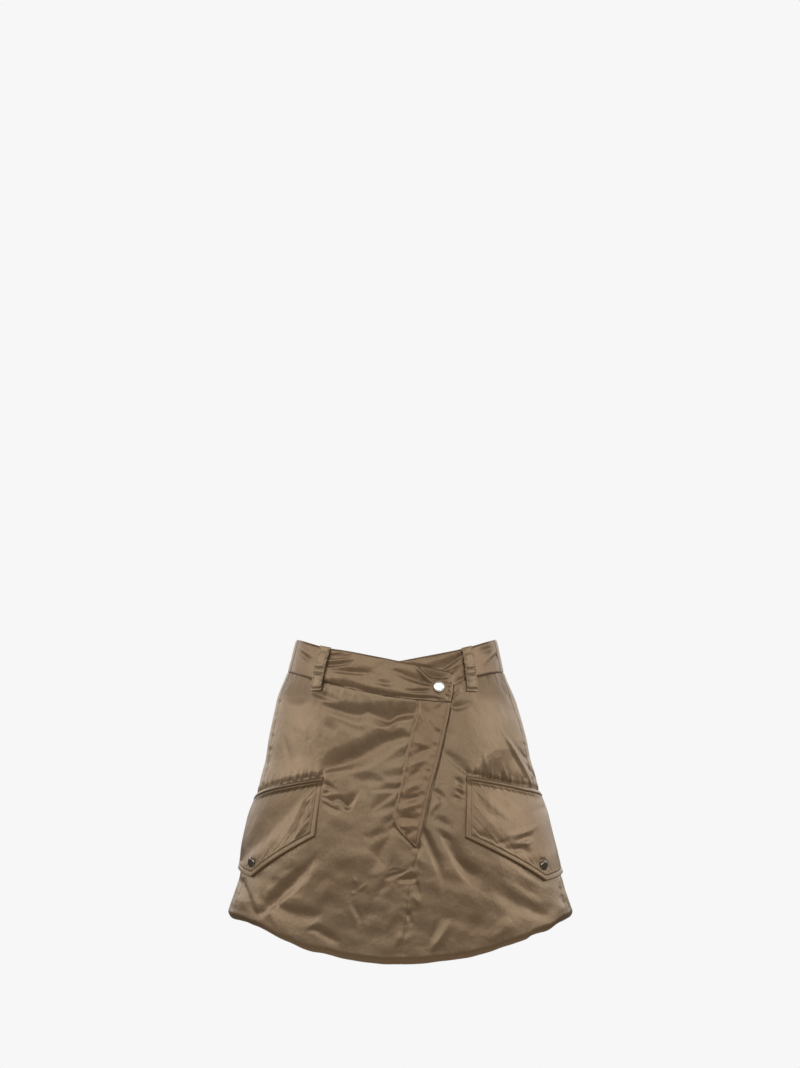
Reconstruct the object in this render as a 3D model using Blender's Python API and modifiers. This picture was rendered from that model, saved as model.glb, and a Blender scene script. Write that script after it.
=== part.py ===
"""Short padded satin skirt with a crossed waistband, a slanting fly and two pointed cargo flaps.

Metres, +Z up. The front faces -Y and the wearer's left side is +X; left and right below are the
wearer's. The origin is the centre of the waist, half way up the waistband at its sides.
Sizes and tables are in millimetres and are turned into metres where points are placed.
A place on the skirt is a turn round it and a height: the turn is 0 at the left side, a quarter at
the centre front, a half at the right side and three quarters at the centre back.
"""
import math
from collections import namedtuple

import bpy
from mathutils import Vector

MM = 0.001

# ---------------------------------------------------------------- driving sizes
PANEL_WALL = 2.4          # padded satin with its lining
BAND_WALL = 3.0
PLACKET_WALL = 1.6
FLAP_WALL = 2.6
LOOP_WALL = 1.8
SEAM_GAP = 0.3            # between pieces that meet at a seam
WAIST_GAP = 0.5           # at the waist seam, where the form bends
FLY_GAP = 0.9             # between the two fronts, whose edges are not level with each other
LAID_GAP = 0.5            # between a panel and what lies on it
FLAP_GAP = 0.7            # the same for the flaps, which span the panels' creases

HEM_HEIGHT_SIDE = -320.0  # where the hem starts to turn under, at the sides
HEM_DIP_FRONT = 52.0      # how much lower it is at the centre front
HEM_DIP_BACK = 46.0
HEM_HIGH_RIGHT = 6.5      # how much the hem is drawn up between a side and the centre
HEM_HIGH_LEFT = 2.0
HEM_RADIUS = 9.0          # the soft roll of the hem
HEM_FLARE = math.radians(18)
HEM_TURN = math.radians(195)   # the roll turns this far past straight out
HEM_RETURN = 12.0         # cloth that then goes back up inside, leaning back to the panel
HEM_KICK = 4.5            # how far the padding pushes the hem out at the sides
HEM_KICK_CENTRE = 0.15    # and the share of it at the centre front and back
HEM_KICK_REACH = 14.0

SIDE_SEAM = math.radians(14)   # the side seams lie a little in front of the sides
QUARTER = math.pi / 2
BAND_TOP = 21.5           # the waistband's edges at the sides
BAND_SEAM = -20.0
TAB_LIFT = 1.5            # the crossing tab stands out over the band under it
TAB_LIFT_START = -45.0    # x where it starts to, and how far on it is fully out
TAB_LIFT_REACH = 30.0
UNDER_DROP = -2.0         # and the band under it sinks in
UNDER_DROP_END = 70.0     # x up to where it does, and how far on it is level again
UNDER_DROP_REACH = 18.0
UNDER_END = -13.0         # x where the band under the tab ends
FLY_STEP = 1.0            # the fly's edge stands out, and the front under it sinks in
FLY_STEP_WIDTH = 24.0     # how far beside the edge that reaches
FLY_STEP_PAST = 20.0      # how far below the placket, and the run in which it dies out
FLY_STEP_FADE = 30.0

SNAP_RADIUS = 7.2
SNAP_HEIGHT = 2.9
SNAP_SHOULDER = 0.96      # shares of the radius where the dome ends and at the foot
SNAP_FOOT = 0.97
SNAP_DOME = math.radians(62)
SNAP_DOME_RISE = 1.7
SNAP_RIM = 0.8
LOOP_WIDTH = 15.0
LOOP_BOW = 2.6            # how far a belt loop stands off in the middle
LOOP_SPRING = 0.7         # below 1 it leaves its ends more steeply
LOOP_PROUD = 1.0          # how far it reaches over the waistband's edge

# Level sections of the body: half width, shift of the centre, and half depths.
Section = namedtuple("Section", "height half_width centre front back")
SECTIONS = (
    Section(22, 127.0, -4.5, 88, 92),
    Section(0, 131.4, -5.0, 91, 96),
    Section(-20, 137.0, -5.5, 94, 101),
    Section(-46, 148.0, -5.5, 100, 109),
    Section(-61, 153.0, -4.5, 103, 113),
    Section(-107, 164.0, -3.0, 111, 123),
    Section(-130, 167.8, -2.5, 115, 127),
    Section(-152, 174.0, -2.0, 119, 130),
    Section(-229, 192.5, -2.0, 131, 138),
    Section(-282, 204.0, 0.5, 138, 143),
    Section(-320, 213.0, 0.5, 141, 146),
    Section(-385, 218.0, 0.5, 139, 147),
)

# Lines that cross the front from the right side to the left: x, and the height there.
Mark = namedtuple("Mark", "x height")
TAB_TOP = (Mark(-132, 21.5), Mark(-97, 10), Mark(-62, 3.5), Mark(-4, -8.5), Mark(68, -23.5))
TAB_SEAM = (Mark(-143, -20), Mark(-111, -30), Mark(-72, -41), Mark(-21, -52), Mark(17, -57),
            Mark(68, -61.5))
UNDER_TOP = (Mark(-15, -11.5), Mark(0, -8.5), Mark(63, 4), Mark(88, 10), Mark(123, 21.5))
UNDER_SEAM = (Mark(-15, -47), Mark(0, -47), Mark(67, -39), Mark(81, -32), Mark(95, -28),
              Mark(132, -20))
UNDER_YOKE = (Mark(63.8, -61.1), Mark(100, -48), Mark(140, -38))   # level with the tab's foot
BACK_DIP_TOP = 30.0
BACK_DIP_SEAM = 32.0
BACK_BOW = 1.6            # 1 would be a V at the centre back, 2 a round bow

# Lines that run down the front: height, and x there.
FLY_EDGE = (Mark(67.5, -23), Mark(63.5, -61), Mark(51, -121), Mark(38, -171), Mark(29, -212),
            Mark(23, -240), Mark(17, -268), Mark(11, -300), Mark(8, -330), Mark(0, -385))
PLACKET_INNER = (Mark(22, -50), Mark(21.5, -72), Mark(9.5, -121), Mark(-0.5, -171),
                 Mark(-7.5, -200), Mark(-4.5, -216), Mark(18, -240))
PLACKET_END = -240.0
PLACKET_INSET = 1.0       # it stays this far inside the waist seam and the fly's edge

# A flap from its front edge, past its point, to its back edge: degrees in front of the side at
# its top, the heights of its top and bottom, and how many degrees further forward its bottom is.
FlapEdge = namedtuple("FlapEdge", "degrees top bottom slant")
FLAP_RIGHT = (FlapEdge(57.5, -153, -227, 0), FlapEdge(24.5, -166, -278.5, 0),
              FlapEdge(-13, -182, -261, 0))
FLAP_LEFT = (FlapEdge(60.8, -151.5, -228.5, 3.7), FlapEdge(28.2, -165.3, -283, 0),
             FlapEdge(-13, -175, -268.5, 0))

# Belt loops: x at the top and at the bottom, the height of the bottom, and the face they are on.
Loop = namedtuple("Loop", "name top_x bottom_x bottom face")
LOOPS = (
    Loop("belt_loop_front_right", -92.5, -105, -45.5, 1),
    Loop("belt_loop_front_left", 83, 90, -46.5, 1),
    Loop("belt_loop_back_right", -80, -86, -52, -1),
    Loop("belt_loop_back_left", 71, 77, -52, -1),
    Loop("belt_loop_back_centre", -4.5, -4.5, -62, -1),
)

Snap = namedtuple("Snap", "name x height")
WAIST_SNAP = Snap("waist_snap", 48.0, -41.5)
FLAP_SNAPS = (Snap("flap_snap_right", -182.8, -261), Snap("flap_snap_left", 176.9, -265))

# The largest folds, each from one end to the other: a ridge is above 0 and a trough below.
Fold = namedtuple("Fold", "x0 z0 x1 z1 width height")
FRONT_FOLDS = (
    Fold(-92, -66, 14, -80, 8, -3.0),
    Fold(-88, -80, -24, -94, 8, 2.0),
    Fold(2, -106, -90, -144, 11, -4.0),
    Fold(0, -126, -64, -152, 9, 2.5),
    Fold(-6, -218, -104, -282, 14, 4.0),
    Fold(-30, -252, -140, -318, 15, -4.0),
    Fold(-60, -300, -120, -345, 14, 3.5),
    Fold(58, -112, 79, -150, 9, -3.5),
    Fold(30, -216, 58, -258, 7, -4.5),
    Fold(58, -258, 100, -284, 12, -3.0),
    Fold(42, -216, 96, -262, 11, 3.5),
    Fold(62, -338, 40, -360, 9, 3.0),
    Fold(120, -300, 60, -318, 16, -3.0),
    Fold(8, -262, -10, -330, 8, -2.5),
)
BACK_FOLDS = (
    Fold(-80, -70, -10, -98, 10, -3.0),
    Fold(84, -68, 16, -92, 10, -3.0),
    Fold(-30, -200, -130, -262, 15, 4.0),
    Fold(24, -206, 118, -270, 15, 4.0),
    Fold(-40, -262, -150, -318, 16, -4.0),
    Fold(46, -270, 150, -322, 16, -3.5),
    Fold(10, -280, -16, -350, 10, -2.5),
    Fold(60, -340, 100, -352, 12, 3.0),
)
FOLD_UNROLL = 150.0       # radius that folds are laid out on
FOLD_FADE = 14.0          # folds die out this close to the waist seam
HEM_FADE = 34.0           # and this close to the hem line
OFF_SIDE = 0.3            # and where the sine of the turn is under this, at the sides

SATIN = (0.235, 0.165, 0.105, 1.0)
SATIN_DARK = (0.200, 0.140, 0.090, 1.0)
NICKEL = (0.78, 0.77, 0.75, 1.0)


# ---------------------------------------------------------------- the form of the body
def ramp(value):
    """Smooth step from 0 to 1."""
    value = min(max(value, 0.0), 1.0)
    return value * value * (3.0 - 2.0 * value)


def smooth(keys, values, at):
    """Value at a place on a smooth curve through a table whose keys rise or fall steadily."""
    rising = 1 if keys[-1] > keys[0] else -1
    last = len(keys) - 1
    place = 0
    while place < last - 1 and (at - keys[place + 1]) * rising > 0:
        place += 1
    before, after = max(place - 1, 0), min(place + 2, last)
    span = keys[place + 1] - keys[place]
    share = min(max((at - keys[place]) / span, 0.0), 1.0)
    slope = (values[place + 1] - values[before]) / (keys[place + 1] - keys[before])
    slope_next = (values[after] - values[place]) / (keys[after] - keys[place])
    square = share * share
    cube = square * share
    return ((2 * cube - 3 * square + 1) * values[place]
            + (cube - 2 * square + share) * slope * span
            + (3 * square - 2 * cube) * values[place + 1]
            + (cube - square) * slope_next * span)


def line_x(marks, height):
    """x of a line that runs down the skirt, at a height."""
    return smooth([mark.height for mark in marks], [mark.x for mark in marks], height)


def line_height(marks, x):
    """Height of a line that crosses the skirt, at an x."""
    return smooth([mark.x for mark in marks], [mark.height for mark in marks], x)


def section_at(height):
    """The level section at a height, on a smooth curve through the table's sections."""
    heights = [section.height for section in SECTIONS]
    columns = zip(*[section[1:] for section in SECTIONS])
    return Section(height, *[smooth(heights, column, height) for column in columns])


def turn_at(x, height, face=1):
    """The turn of a point at an x and a height, on the front (face 1) or the back (face -1)."""
    section = section_at(height)
    return face * math.acos(min(max((x - section.centre) / section.half_width, -1.0), 1.0))


def arc_rate(turn, height):
    """Millimetres round the skirt for one radian of turn."""
    section = section_at(height)
    depth = section.front if math.sin(turn) > 0 else section.back
    return math.hypot(section.half_width * math.sin(turn), depth * math.cos(turn))


def body(turn, height):
    """Point on the smooth body."""
    section = section_at(height)
    depth = section.front if math.sin(turn) > 0 else section.back
    return Vector((section.centre + section.half_width * math.cos(turn),
                   -depth * math.sin(turn), height))


def outward(turn, height):
    """Direction straight out of the smooth body."""
    step = 0.01
    round_it = body(turn + step, height) - body(turn - step, height)
    up_it = body(turn, height + 1.0) - body(turn, height - 1.0)
    return up_it.cross(round_it).normalized()


def hem_line(turn):
    """Height where the hem starts to turn under."""
    dip = HEM_DIP_FRONT if math.sin(turn) > 0 else HEM_DIP_BACK
    high = HEM_HIGH_RIGHT if math.cos(turn) < 0 else HEM_HIGH_LEFT
    drawn_up = high * math.sin(2 * turn) ** 2 * abs(math.cos(turn))
    return HEM_HEIGHT_SIDE - dip * math.sin(turn) ** 2 + drawn_up


def crossing(marks, turn):
    """Height where a line that crosses the front meets a turn of the body."""
    height = marks[0].height
    for _ in range(8):
        height = line_height(marks, body(turn, height).x)
    return height


def top_line(turn):
    """Height of the waist seam."""
    if math.sin(turn) < 0:
        return back_line(turn, BAND_SEAM, BACK_DIP_SEAM)
    right_seam = crossing(TAB_SEAM, turn)
    on_tab = body(turn, right_seam).x < line_x(FLY_EDGE, right_seam)
    return right_seam if on_tab else crossing(UNDER_SEAM, turn)


def back_line(turn, side_height, dip):
    """A line across the back that dips towards the centre."""
    return side_height - dip * (1.0 - abs(math.cos(turn)) ** BACK_BOW)


def fold_height(turn, height):
    """How far the folds move a panel out at one place."""
    folds = FRONT_FOLDS if math.sin(turn) > 0 else BACK_FOLDS
    across = FOLD_UNROLL * math.asin(math.cos(turn))
    total = 0.0
    for fold in folds:
        start = Vector((unroll(fold.x0, fold.z0), fold.z0))
        along = Vector((unroll(fold.x1, fold.z1), fold.z1)) - start
        offset = Vector((across, height)) - start
        share = min(max(offset.dot(along) / along.length_squared, 0.0), 1.0)
        distance = (offset - along * share).length
        strength = 0.35 + 0.65 * math.sin(math.pi * share)
        total += fold.height * strength * math.exp(-(distance / fold.width) ** 2)
    below_seam = ramp((top_line(turn) - height) / FOLD_FADE)
    above_hem = ramp((height - hem_line(turn)) / HEM_FADE)
    off_side = ramp(abs(math.sin(turn)) / OFF_SIDE)
    return total * below_seam * above_hem * off_side


def unroll(x, height):
    """Where an x on a face lies when the face is laid out flat."""
    section = section_at(height)
    return FOLD_UNROLL * math.asin(min(max((x - section.centre) / section.half_width, -1.0), 1.0))


def hem_push(turn, height):
    """How far the padding pushes the cloth out near the hem line."""
    kick = HEM_KICK * (HEM_KICK_CENTRE + (1.0 - HEM_KICK_CENTRE) * math.cos(turn) ** 2)
    return kick * math.exp(-max(height - hem_line(turn), 0.0) / HEM_KICK_REACH)


def fly_lift(turn, height, side):
    """The lapped front edge stands out (side 1) and the front under it sinks (side -1)."""
    end = PLACKET_END - FLY_STEP_PAST
    if math.sin(turn) <= 0 or height < end:
        return 0.0
    distance = abs(body(turn, height).x - line_x(FLY_EDGE, height))
    fade = ramp((height - end) / FLY_STEP_FADE)
    return side * FLY_STEP * fade * (1.0 - ramp(distance / FLY_STEP_WIDTH))


def cloth(turn, height, lift=0.0):
    """Point on the outside of the panels, folds and all, moved out by a lift."""
    total = lift + fold_height(turn, height) + hem_push(turn, height)
    return body(turn, height) + outward(turn, height) * total


def hem_roll(turn, run, depth):
    """Point on the turned-under hem, a run of cloth past the hem line and a depth into it."""
    height = hem_line(turn)
    edge = cloth(turn, height)
    out = outward(turn, height)
    out.z = 0.0
    out.normalize()
    down = Vector((0.0, 0.0, -1.0))
    centre = edge - (out * math.cos(HEM_FLARE) - down * math.sin(HEM_FLARE)) * HEM_RADIUS
    angle = min(run / HEM_RADIUS - HEM_FLARE, HEM_TURN)
    rise = max(run - HEM_RADIUS * (HEM_TURN + HEM_FLARE), 0.0)
    around = out * math.cos(angle) + down * math.sin(angle)
    onward = down * math.cos(angle) - out * math.sin(angle)
    return centre + around * (HEM_RADIUS - depth) + onward * rise


# ---------------------------------------------------------------- making pieces
def finish(name, colour, roughness, metallic):
    """A piece's own plain material."""
    material = bpy.data.materials.new(name)
    material.use_nodes = True
    shader = material.node_tree.nodes["Principled BSDF"]
    shader.inputs["Base Color"].default_value = colour
    shader.inputs["Roughness"].default_value = roughness
    shader.inputs["Metallic"].default_value = metallic
    return material


def keep(piece, name, material):
    """Names a piece, gives it its material and moves it to the skirt's collection."""
    piece.name = name
    piece.data.name = name
    piece.data.materials.clear()
    piece.data.materials.append(material)
    for collection in list(piece.users_collection):
        collection.objects.unlink(piece)
    SKIRT.objects.link(piece)
    piece.parent = WAIST
    return piece


def lay_cloth(name, across, down, place, wall, colour=SATIN):
    """A grid laid on the form, with a wall whose inner face is laid on the form too.

    place(u, w, depth) has u across and w down, 0 to 1, and a depth into the wall.
    """
    bpy.ops.mesh.primitive_grid_add(x_subdivisions=across, y_subdivisions=down, size=2.0)
    piece = bpy.context.object
    shares = [((v.co.x + 1.0) / 2.0, (1.0 - v.co.y) / 2.0) for v in piece.data.vertices]
    solid = piece.modifiers.new("wall", "SOLIDIFY")
    solid.thickness = wall
    solid.offset = -1.0
    bpy.ops.object.modifier_apply(modifier=solid.name)
    for index, vertex in enumerate(piece.data.vertices):
        u, w = shares[index % len(shares)]
        vertex.co = place(u, w, 0.0 if index < len(shares) else wall) * MM
    piece.data.shade_smooth()
    return keep(piece, name, finish(name, colour, 0.42, 0.0))


def side_turn(side, height, towards_front):
    """The turn of a side seam, half a seam gap off it to the front or to the back."""
    seam = SIDE_SEAM if side == "left" else math.pi - SIDE_SEAM
    gap = SEAM_GAP / 2 / arc_rate(seam, height)
    forward = 1 if side == "left" else -1
    return seam + (gap if towards_front else -gap) * forward


def fly_turn(height, side):
    """The turn of the fly's edge, half a seam gap to its right (side 1) or left (side -1)."""
    return turn_at(line_x(FLY_EDGE, height) - side * FLY_GAP / 2, height)


BODY_ROWS = 20            # rows of a panel above the hem line
HEM_ROWS = 5
HEM_RUN = HEM_RADIUS * (HEM_TURN + HEM_FLARE) + HEM_RETURN


def panel(name, across, edges, lines, lift):
    """A front or back panel. edges(height) gives its two turns at a height; lines are the levels
    of its first rows, from the waist seam down."""
    body_rows = BODY_ROWS + len(lines) - 1
    rows = body_rows + HEM_ROWS

    def level(turn, row):
        if row < len(lines) - 1:
            upper, lower = lines[int(row)](turn), lines[int(row) + 1](turn)
            return upper + (lower - upper) * (row - int(row))
        start = lines[-1](turn)
        return start + (hem_line(turn) - start) * (row - len(lines) + 1) / BODY_ROWS

    def place(u, w, depth):
        row = round(w * rows)
        height = HEM_HEIGHT_SIDE
        for _ in range(8):
            first, second = edges(height)
            turn = first + (second - first) * u
            height = level(turn, min(row, body_rows))
        if row <= body_rows:
            return cloth(turn, height, lift(turn, height) - depth)
        return hem_roll(turn, HEM_RUN * (row - body_rows) / HEM_ROWS, depth)

    return lay_cloth(name, across, rows, place, PANEL_WALL)


def seam_line(marks):
    """The waist seam as the top of a front panel."""
    return lambda turn: crossing(marks, turn) - WAIST_GAP / 2


def back_seam(turn):
    return back_line(turn, BAND_SEAM, BACK_DIP_SEAM) - WAIST_GAP / 2


def build_panels():
    def right_edges(height):
        return side_turn("right", height, True), fly_turn(height, 1)

    def left_edges(height):
        return fly_turn(height, -1), side_turn("left", height, True)

    def back_right_edges(height):
        gap = SEAM_GAP / 2 / arc_rate(3 * QUARTER, height)
        return 3 * QUARTER - gap, side_turn("right", height, False)

    def back_left_edges(height):
        gap = SEAM_GAP / 2 / arc_rate(-QUARTER, height)
        return side_turn("left", height, False), -QUARTER + gap

    panel("front_right", 24, right_edges, [seam_line(TAB_SEAM)],
          lambda turn, height: fly_lift(turn, height, 1))
    panel("front_left", 17, left_edges, [seam_line(UNDER_SEAM), seam_line(UNDER_YOKE)],
          lambda turn, height: fly_lift(turn, height, -1))
    panel("back_right", 22, back_right_edges, [back_seam], lambda turn, height: 0.0)
    panel("back_left", 22, back_left_edges, [back_seam], lambda turn, height: 0.0)


def band_point(turn, height, lift):
    return body(turn, height) + outward(turn, height) * lift


def build_waistband():
    def right(u, w, depth):
        height = 0.0
        for _ in range(8):
            first = side_turn("right", height, True)
            turn = first + (fly_turn(height, 1) - first) * u
            top = crossing(TAB_TOP, turn)
            height = top + (crossing(TAB_SEAM, turn) + WAIST_GAP / 2 - top) * w
        x = body(turn, height).x
        lift = TAB_LIFT * ramp((x - TAB_LIFT_START) / TAB_LIFT_REACH)
        return band_point(turn, height, lift - depth)

    def left(u, w, depth):
        height = 0.0
        for _ in range(8):
            first = turn_at(UNDER_END, height)
            turn = first + (side_turn("left", height, True) - first) * u
            top = crossing(UNDER_TOP, turn)
            height = top + (crossing(UNDER_SEAM, turn) + WAIST_GAP / 2 - top) * w
        x = body(turn, height).x
        drop = UNDER_DROP * (1.0 - ramp((x - UNDER_DROP_END) / UNDER_DROP_REACH))
        return band_point(turn, height, drop - depth)

    def back(u, w, depth):
        first = side_turn("left", 0.0, False)
        last = side_turn("right", 0.0, False) - 2 * math.pi
        turn = first + (last - first) * u
        top = back_line(turn, BAND_TOP, BACK_DIP_TOP)
        bottom = back_line(turn, BAND_SEAM, BACK_DIP_SEAM) + WAIST_GAP / 2
        return band_point(turn, top + (bottom - top) * w, -depth)

    lay_cloth("waistband_right", 24, 4, right, BAND_WALL)
    lay_cloth("waistband_left", 18, 4, left, BAND_WALL)
    lay_cloth("waistband_back", 44, 4, back, BAND_WALL)


def build_placket():
    def place(u, w, depth):
        top = line_height(TAB_SEAM, 40.0) - PLACKET_INSET
        height = top + (PLACKET_END - top) * w
        inner = line_x(PLACKET_INNER, height)
        edge = line_x(FLY_EDGE, height) - PLACKET_INSET
        x = inner + (edge - inner) * u
        if w == 0.0:
            height = line_height(TAB_SEAM, x) - PLACKET_INSET
        turn = turn_at(x, height)
        return cloth(turn, height, fly_lift(turn, height, 1) + LAID_GAP + PLACKET_WALL - depth)

    lay_cloth("fly_placket", 4, 18, place, PLACKET_WALL)


def build_flap(name, edges, side):
    front, point, back = edges
    front_share = (front.degrees - point.degrees) / (front.degrees - back.degrees)

    def place(u, w, depth):
        if u < front_share:
            near, far, share = front, point, u / front_share
        else:
            near, far, share = point, back, (u - front_share) / (1.0 - front_share)
        top = near.top + (far.top - near.top) * share
        bottom = near.bottom + (far.bottom - near.bottom) * share
        degrees = near.degrees + (far.degrees - near.degrees) * share
        degrees += (near.slant + (far.slant - near.slant) * share) * w
        turn = math.radians(degrees if side == "left" else 180.0 - degrees)
        height = top + (bottom - top) * w
        return cloth(turn, height, FLAP_GAP + FLAP_WALL - depth)

    def place_mirrored(u, w, depth):
        return place(1.0 - u, w, depth)

    lay_cloth(name, 14, 8, place if side == "left" else place_mirrored, FLAP_WALL, SATIN_DARK)


def loop_top(loop, x):
    """Height of a belt loop's top at an x, along the waistband's edge."""
    if loop.face < 0:
        return back_line(turn_at(x, 0.0, -1), BAND_TOP, BACK_DIP_TOP) + LOOP_PROUD
    return line_height(TAB_TOP if loop.top_x < 0 else UNDER_TOP, x) + LOOP_PROUD


def build_loops():
    for loop in LOOPS:
        def place(u, w, depth, loop=loop):
            middle = loop_top(loop, loop.top_x)
            at_top = turn_at(loop.top_x, middle, loop.face)
            at_top -= (u - 0.5) * LOOP_WIDTH / arc_rate(at_top, middle)
            top = loop_top(loop, body(at_top, middle).x)
            x = loop.top_x + (loop.bottom_x - loop.top_x) * w
            height = top + (loop.bottom - top) * w
            turn = turn_at(x, height, loop.face)
            turn -= (u - 0.5) * LOOP_WIDTH / arc_rate(turn, height)
            bow = LOOP_BOW * max(math.sin(math.pi * w), 0.0) ** LOOP_SPRING
            lift = LAID_GAP + bow + LOOP_WALL - depth
            return body(turn, height) + outward(turn, height) * lift

        lay_cloth(loop.name, 3, 9, place, LOOP_WALL)


def build_snap(name, turn, height, lift):
    """A domed press-stud cap: half its outline, turned round its axis and set on the cloth."""
    outline = [(0.0, SNAP_HEIGHT)]
    for step in range(1, 5):
        angle = step / 4 * SNAP_DOME
        outwards = math.sin(angle) / math.sin(SNAP_DOME)
        fall = (1.0 - math.cos(angle)) / (1.0 - math.cos(SNAP_DOME))
        outline.append((SNAP_RADIUS * SNAP_SHOULDER * outwards, SNAP_HEIGHT - SNAP_DOME_RISE * fall))
    outline += [(SNAP_RADIUS, SNAP_RIM), (SNAP_RADIUS * SNAP_FOOT, 0.0), (0.0, 0.0)]
    mesh = bpy.data.meshes.new(name)
    points = [Vector((x, 0.0, z)) * MM for x, z in outline]
    mesh.from_pydata(points, [(i, i + 1) for i in range(len(points) - 1)], [])
    piece = bpy.data.objects.new(name, mesh)
    bpy.context.scene.collection.objects.link(piece)
    screw = piece.modifiers.new("turned", "SCREW")
    screw.axis = "Z"
    screw.steps = 20
    screw.render_steps = 20
    screw.use_merge_vertices = True
    screw.merge_threshold = 0.00002
    out = outward(turn, height)
    piece.location = (body(turn, height) + out * lift) * MM
    piece.rotation_euler = out.to_track_quat("Z", "Y").to_euler()
    return keep(piece, name, finish(name, NICKEL, 0.16, 1.0))


def build_snaps():
    on_tab = turn_at(WAIST_SNAP.x, WAIST_SNAP.height)
    build_snap(WAIST_SNAP.name, on_tab, WAIST_SNAP.height, TAB_LIFT + LAID_GAP)
    for snap in FLAP_SNAPS:
        turn = turn_at(snap.x, snap.height)
        build_snap(snap.name, turn, snap.height,
                   fold_height(turn, snap.height) + FLAP_GAP + FLAP_WALL + LAID_GAP)


for old in list(bpy.data.objects):
    bpy.data.objects.remove(old, do_unlink=True)
SKIRT = bpy.data.collections.new("cargo_utility_skirt")
bpy.context.scene.collection.children.link(SKIRT)
WAIST = bpy.data.objects.new("waist", None)
SKIRT.objects.link(WAIST)

build_panels()
build_waistband()
build_placket()
build_flap("pocket_flap_right", FLAP_RIGHT, "right")
build_flap("pocket_flap_left", FLAP_LEFT, "left")
build_loops()
build_snaps()
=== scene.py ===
"""Looks of a cargo utility skirt: padded satin shells, stitching and press studs on its frame.

Sizes and tables are in millimetres in the skirt's own frame, and MM turns them into metres: +X is
the wearer's left side, -Y the front and +Z up, with the origin at the centre of the waist.
A place on the skirt is a turn round it and a height: the turn is 0 at the left side, a quarter at
the centre front, a half at the right side and three quarters at the centre back.
"""
import math
from collections import namedtuple
from functools import partial

import bpy
import numpy as np
from mathutils import Matrix, Vector


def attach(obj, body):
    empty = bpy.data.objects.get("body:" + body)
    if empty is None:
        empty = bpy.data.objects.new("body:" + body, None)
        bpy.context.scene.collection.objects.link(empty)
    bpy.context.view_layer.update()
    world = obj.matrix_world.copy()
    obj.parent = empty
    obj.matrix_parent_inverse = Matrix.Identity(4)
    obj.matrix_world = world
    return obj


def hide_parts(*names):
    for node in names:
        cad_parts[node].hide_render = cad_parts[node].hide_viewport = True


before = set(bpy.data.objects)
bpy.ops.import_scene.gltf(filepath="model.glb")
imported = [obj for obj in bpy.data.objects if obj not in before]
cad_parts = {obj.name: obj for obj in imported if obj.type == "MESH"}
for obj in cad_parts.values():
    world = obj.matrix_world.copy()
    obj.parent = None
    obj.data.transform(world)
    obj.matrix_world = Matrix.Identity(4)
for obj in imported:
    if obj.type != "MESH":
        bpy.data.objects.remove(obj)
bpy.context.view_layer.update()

MM = 0.001
QUARTER = math.pi / 2

# ---------------------------------------------------------------- sizes of the form
PLACKET_END = -240.0      # the foot of the placket beside the fly

PANEL_WALL = 2.4
BAND_WALL = 3.0
PLACKET_WALL = 1.6
FLAP_WALL = 2.6
LOOP_WALL = 1.8
SEAM_GAP = -0.15          # the shells lap by this much, so that no light shows between them
WAIST_GAP = 0.5
LAID_GAP = 0.5
FLAP_GAP = 0.7

HEM_HEIGHT_SIDE = -320.9
HEM_DIP_FRONT = 53.6
HEM_DIP_BACK = 47.6
HEM_HIGH_RIGHT = 6.5
HEM_HIGH_LEFT = 2.0
HEM_RADIUS = 9.0
HEM_FLARE = math.radians(2)
HEM_FLARE_SIDE = math.radians(10)
HEM_TURN = math.radians(195)
HEM_RETURN = 12.0
HEM_KICK = 4.5            # how far the padding pushes the hem out at the sides
HEM_KICK_CENTRE = 0.10    # and the share of it at the centre front and back
HEM_KICK_POWER = 8
HEM_KICK_REACH = 18.0
HEM_KEEP = 0.6            # the share of a fold that runs on round the hem
HEM_RUN = HEM_RADIUS * (HEM_TURN + HEM_FLARE + HEM_FLARE_SIDE) + HEM_RETURN

SIDE_SEAM = math.radians(14)
BAND_TOP = 21.5
BAND_SEAM = -20.0
TAB_LIFT = 1.5
UNDER_DROP = -2.0
UNDER_END = -13.0
FLY_STEP = 1.2            # how far the lapped front stands out at the fly's edge
FLY_STEP_WIDTH = 24.0     # and how far beside the edge that reaches
FLY_STEP_END = PLACKET_END - 20.0      # and how low, once it has faded
FLY_STEP_FADE = 30.0
BACK_DIP_TOP = 30.0
BACK_DIP_SEAM = 32.0
BACK_BOW = 1.6
LOOP_WIDTH = 15.0
LOOP_BOW = 2.6            # how far a loop stands off the band in its middle
LOOP_PROUD = 1.0          # and over the band's top
SNAP_RADIUS = 7.2

# Level sections of the body: half width, shift of the centre, and half depths.
Section = namedtuple("Section", "height half_width centre front back")
SECTIONS = (
    Section(22, 127.0, -4.5, 88, 92),
    Section(0, 131.4, -5.0, 91, 96),
    Section(-20, 137.0, -5.5, 94, 101),
    Section(-46, 148.0, -5.5, 100, 109),
    Section(-61, 153.0, -4.5, 103, 113),
    Section(-107, 164.0, -3.0, 111, 123),
    Section(-130, 167.8, -2.5, 115, 127),
    Section(-152, 174.0, -2.0, 119, 130),
    Section(-229, 192.5, -2.0, 131, 138),
    Section(-282, 204.0, 0.5, 137, 143),
    Section(-320, 213.0, 0.5, 140, 146),
    Section(-385, 218.0, 0.5, 146, 147),
)

# Lines that cross the front from the right side to the left: x, and the height there.
Mark = namedtuple("Mark", "x height")
TAB_TOP = (Mark(-132, 21.5), Mark(-97, 10), Mark(-62, 3.5), Mark(-4, -8.5), Mark(68, -23.5))
TAB_SEAM = (Mark(-143, -20), Mark(-111, -30), Mark(-72, -41), Mark(-21, -52), Mark(17, -57),
            Mark(68, -61.5))
UNDER_TOP = (Mark(-15, -11.5), Mark(0, -8.5), Mark(63, 4), Mark(88, 10), Mark(123, 21.5))
UNDER_SEAM = (Mark(-15, -47), Mark(0, -47), Mark(67, -39), Mark(81, -32), Mark(95, -28),
              Mark(132, -20))

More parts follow.
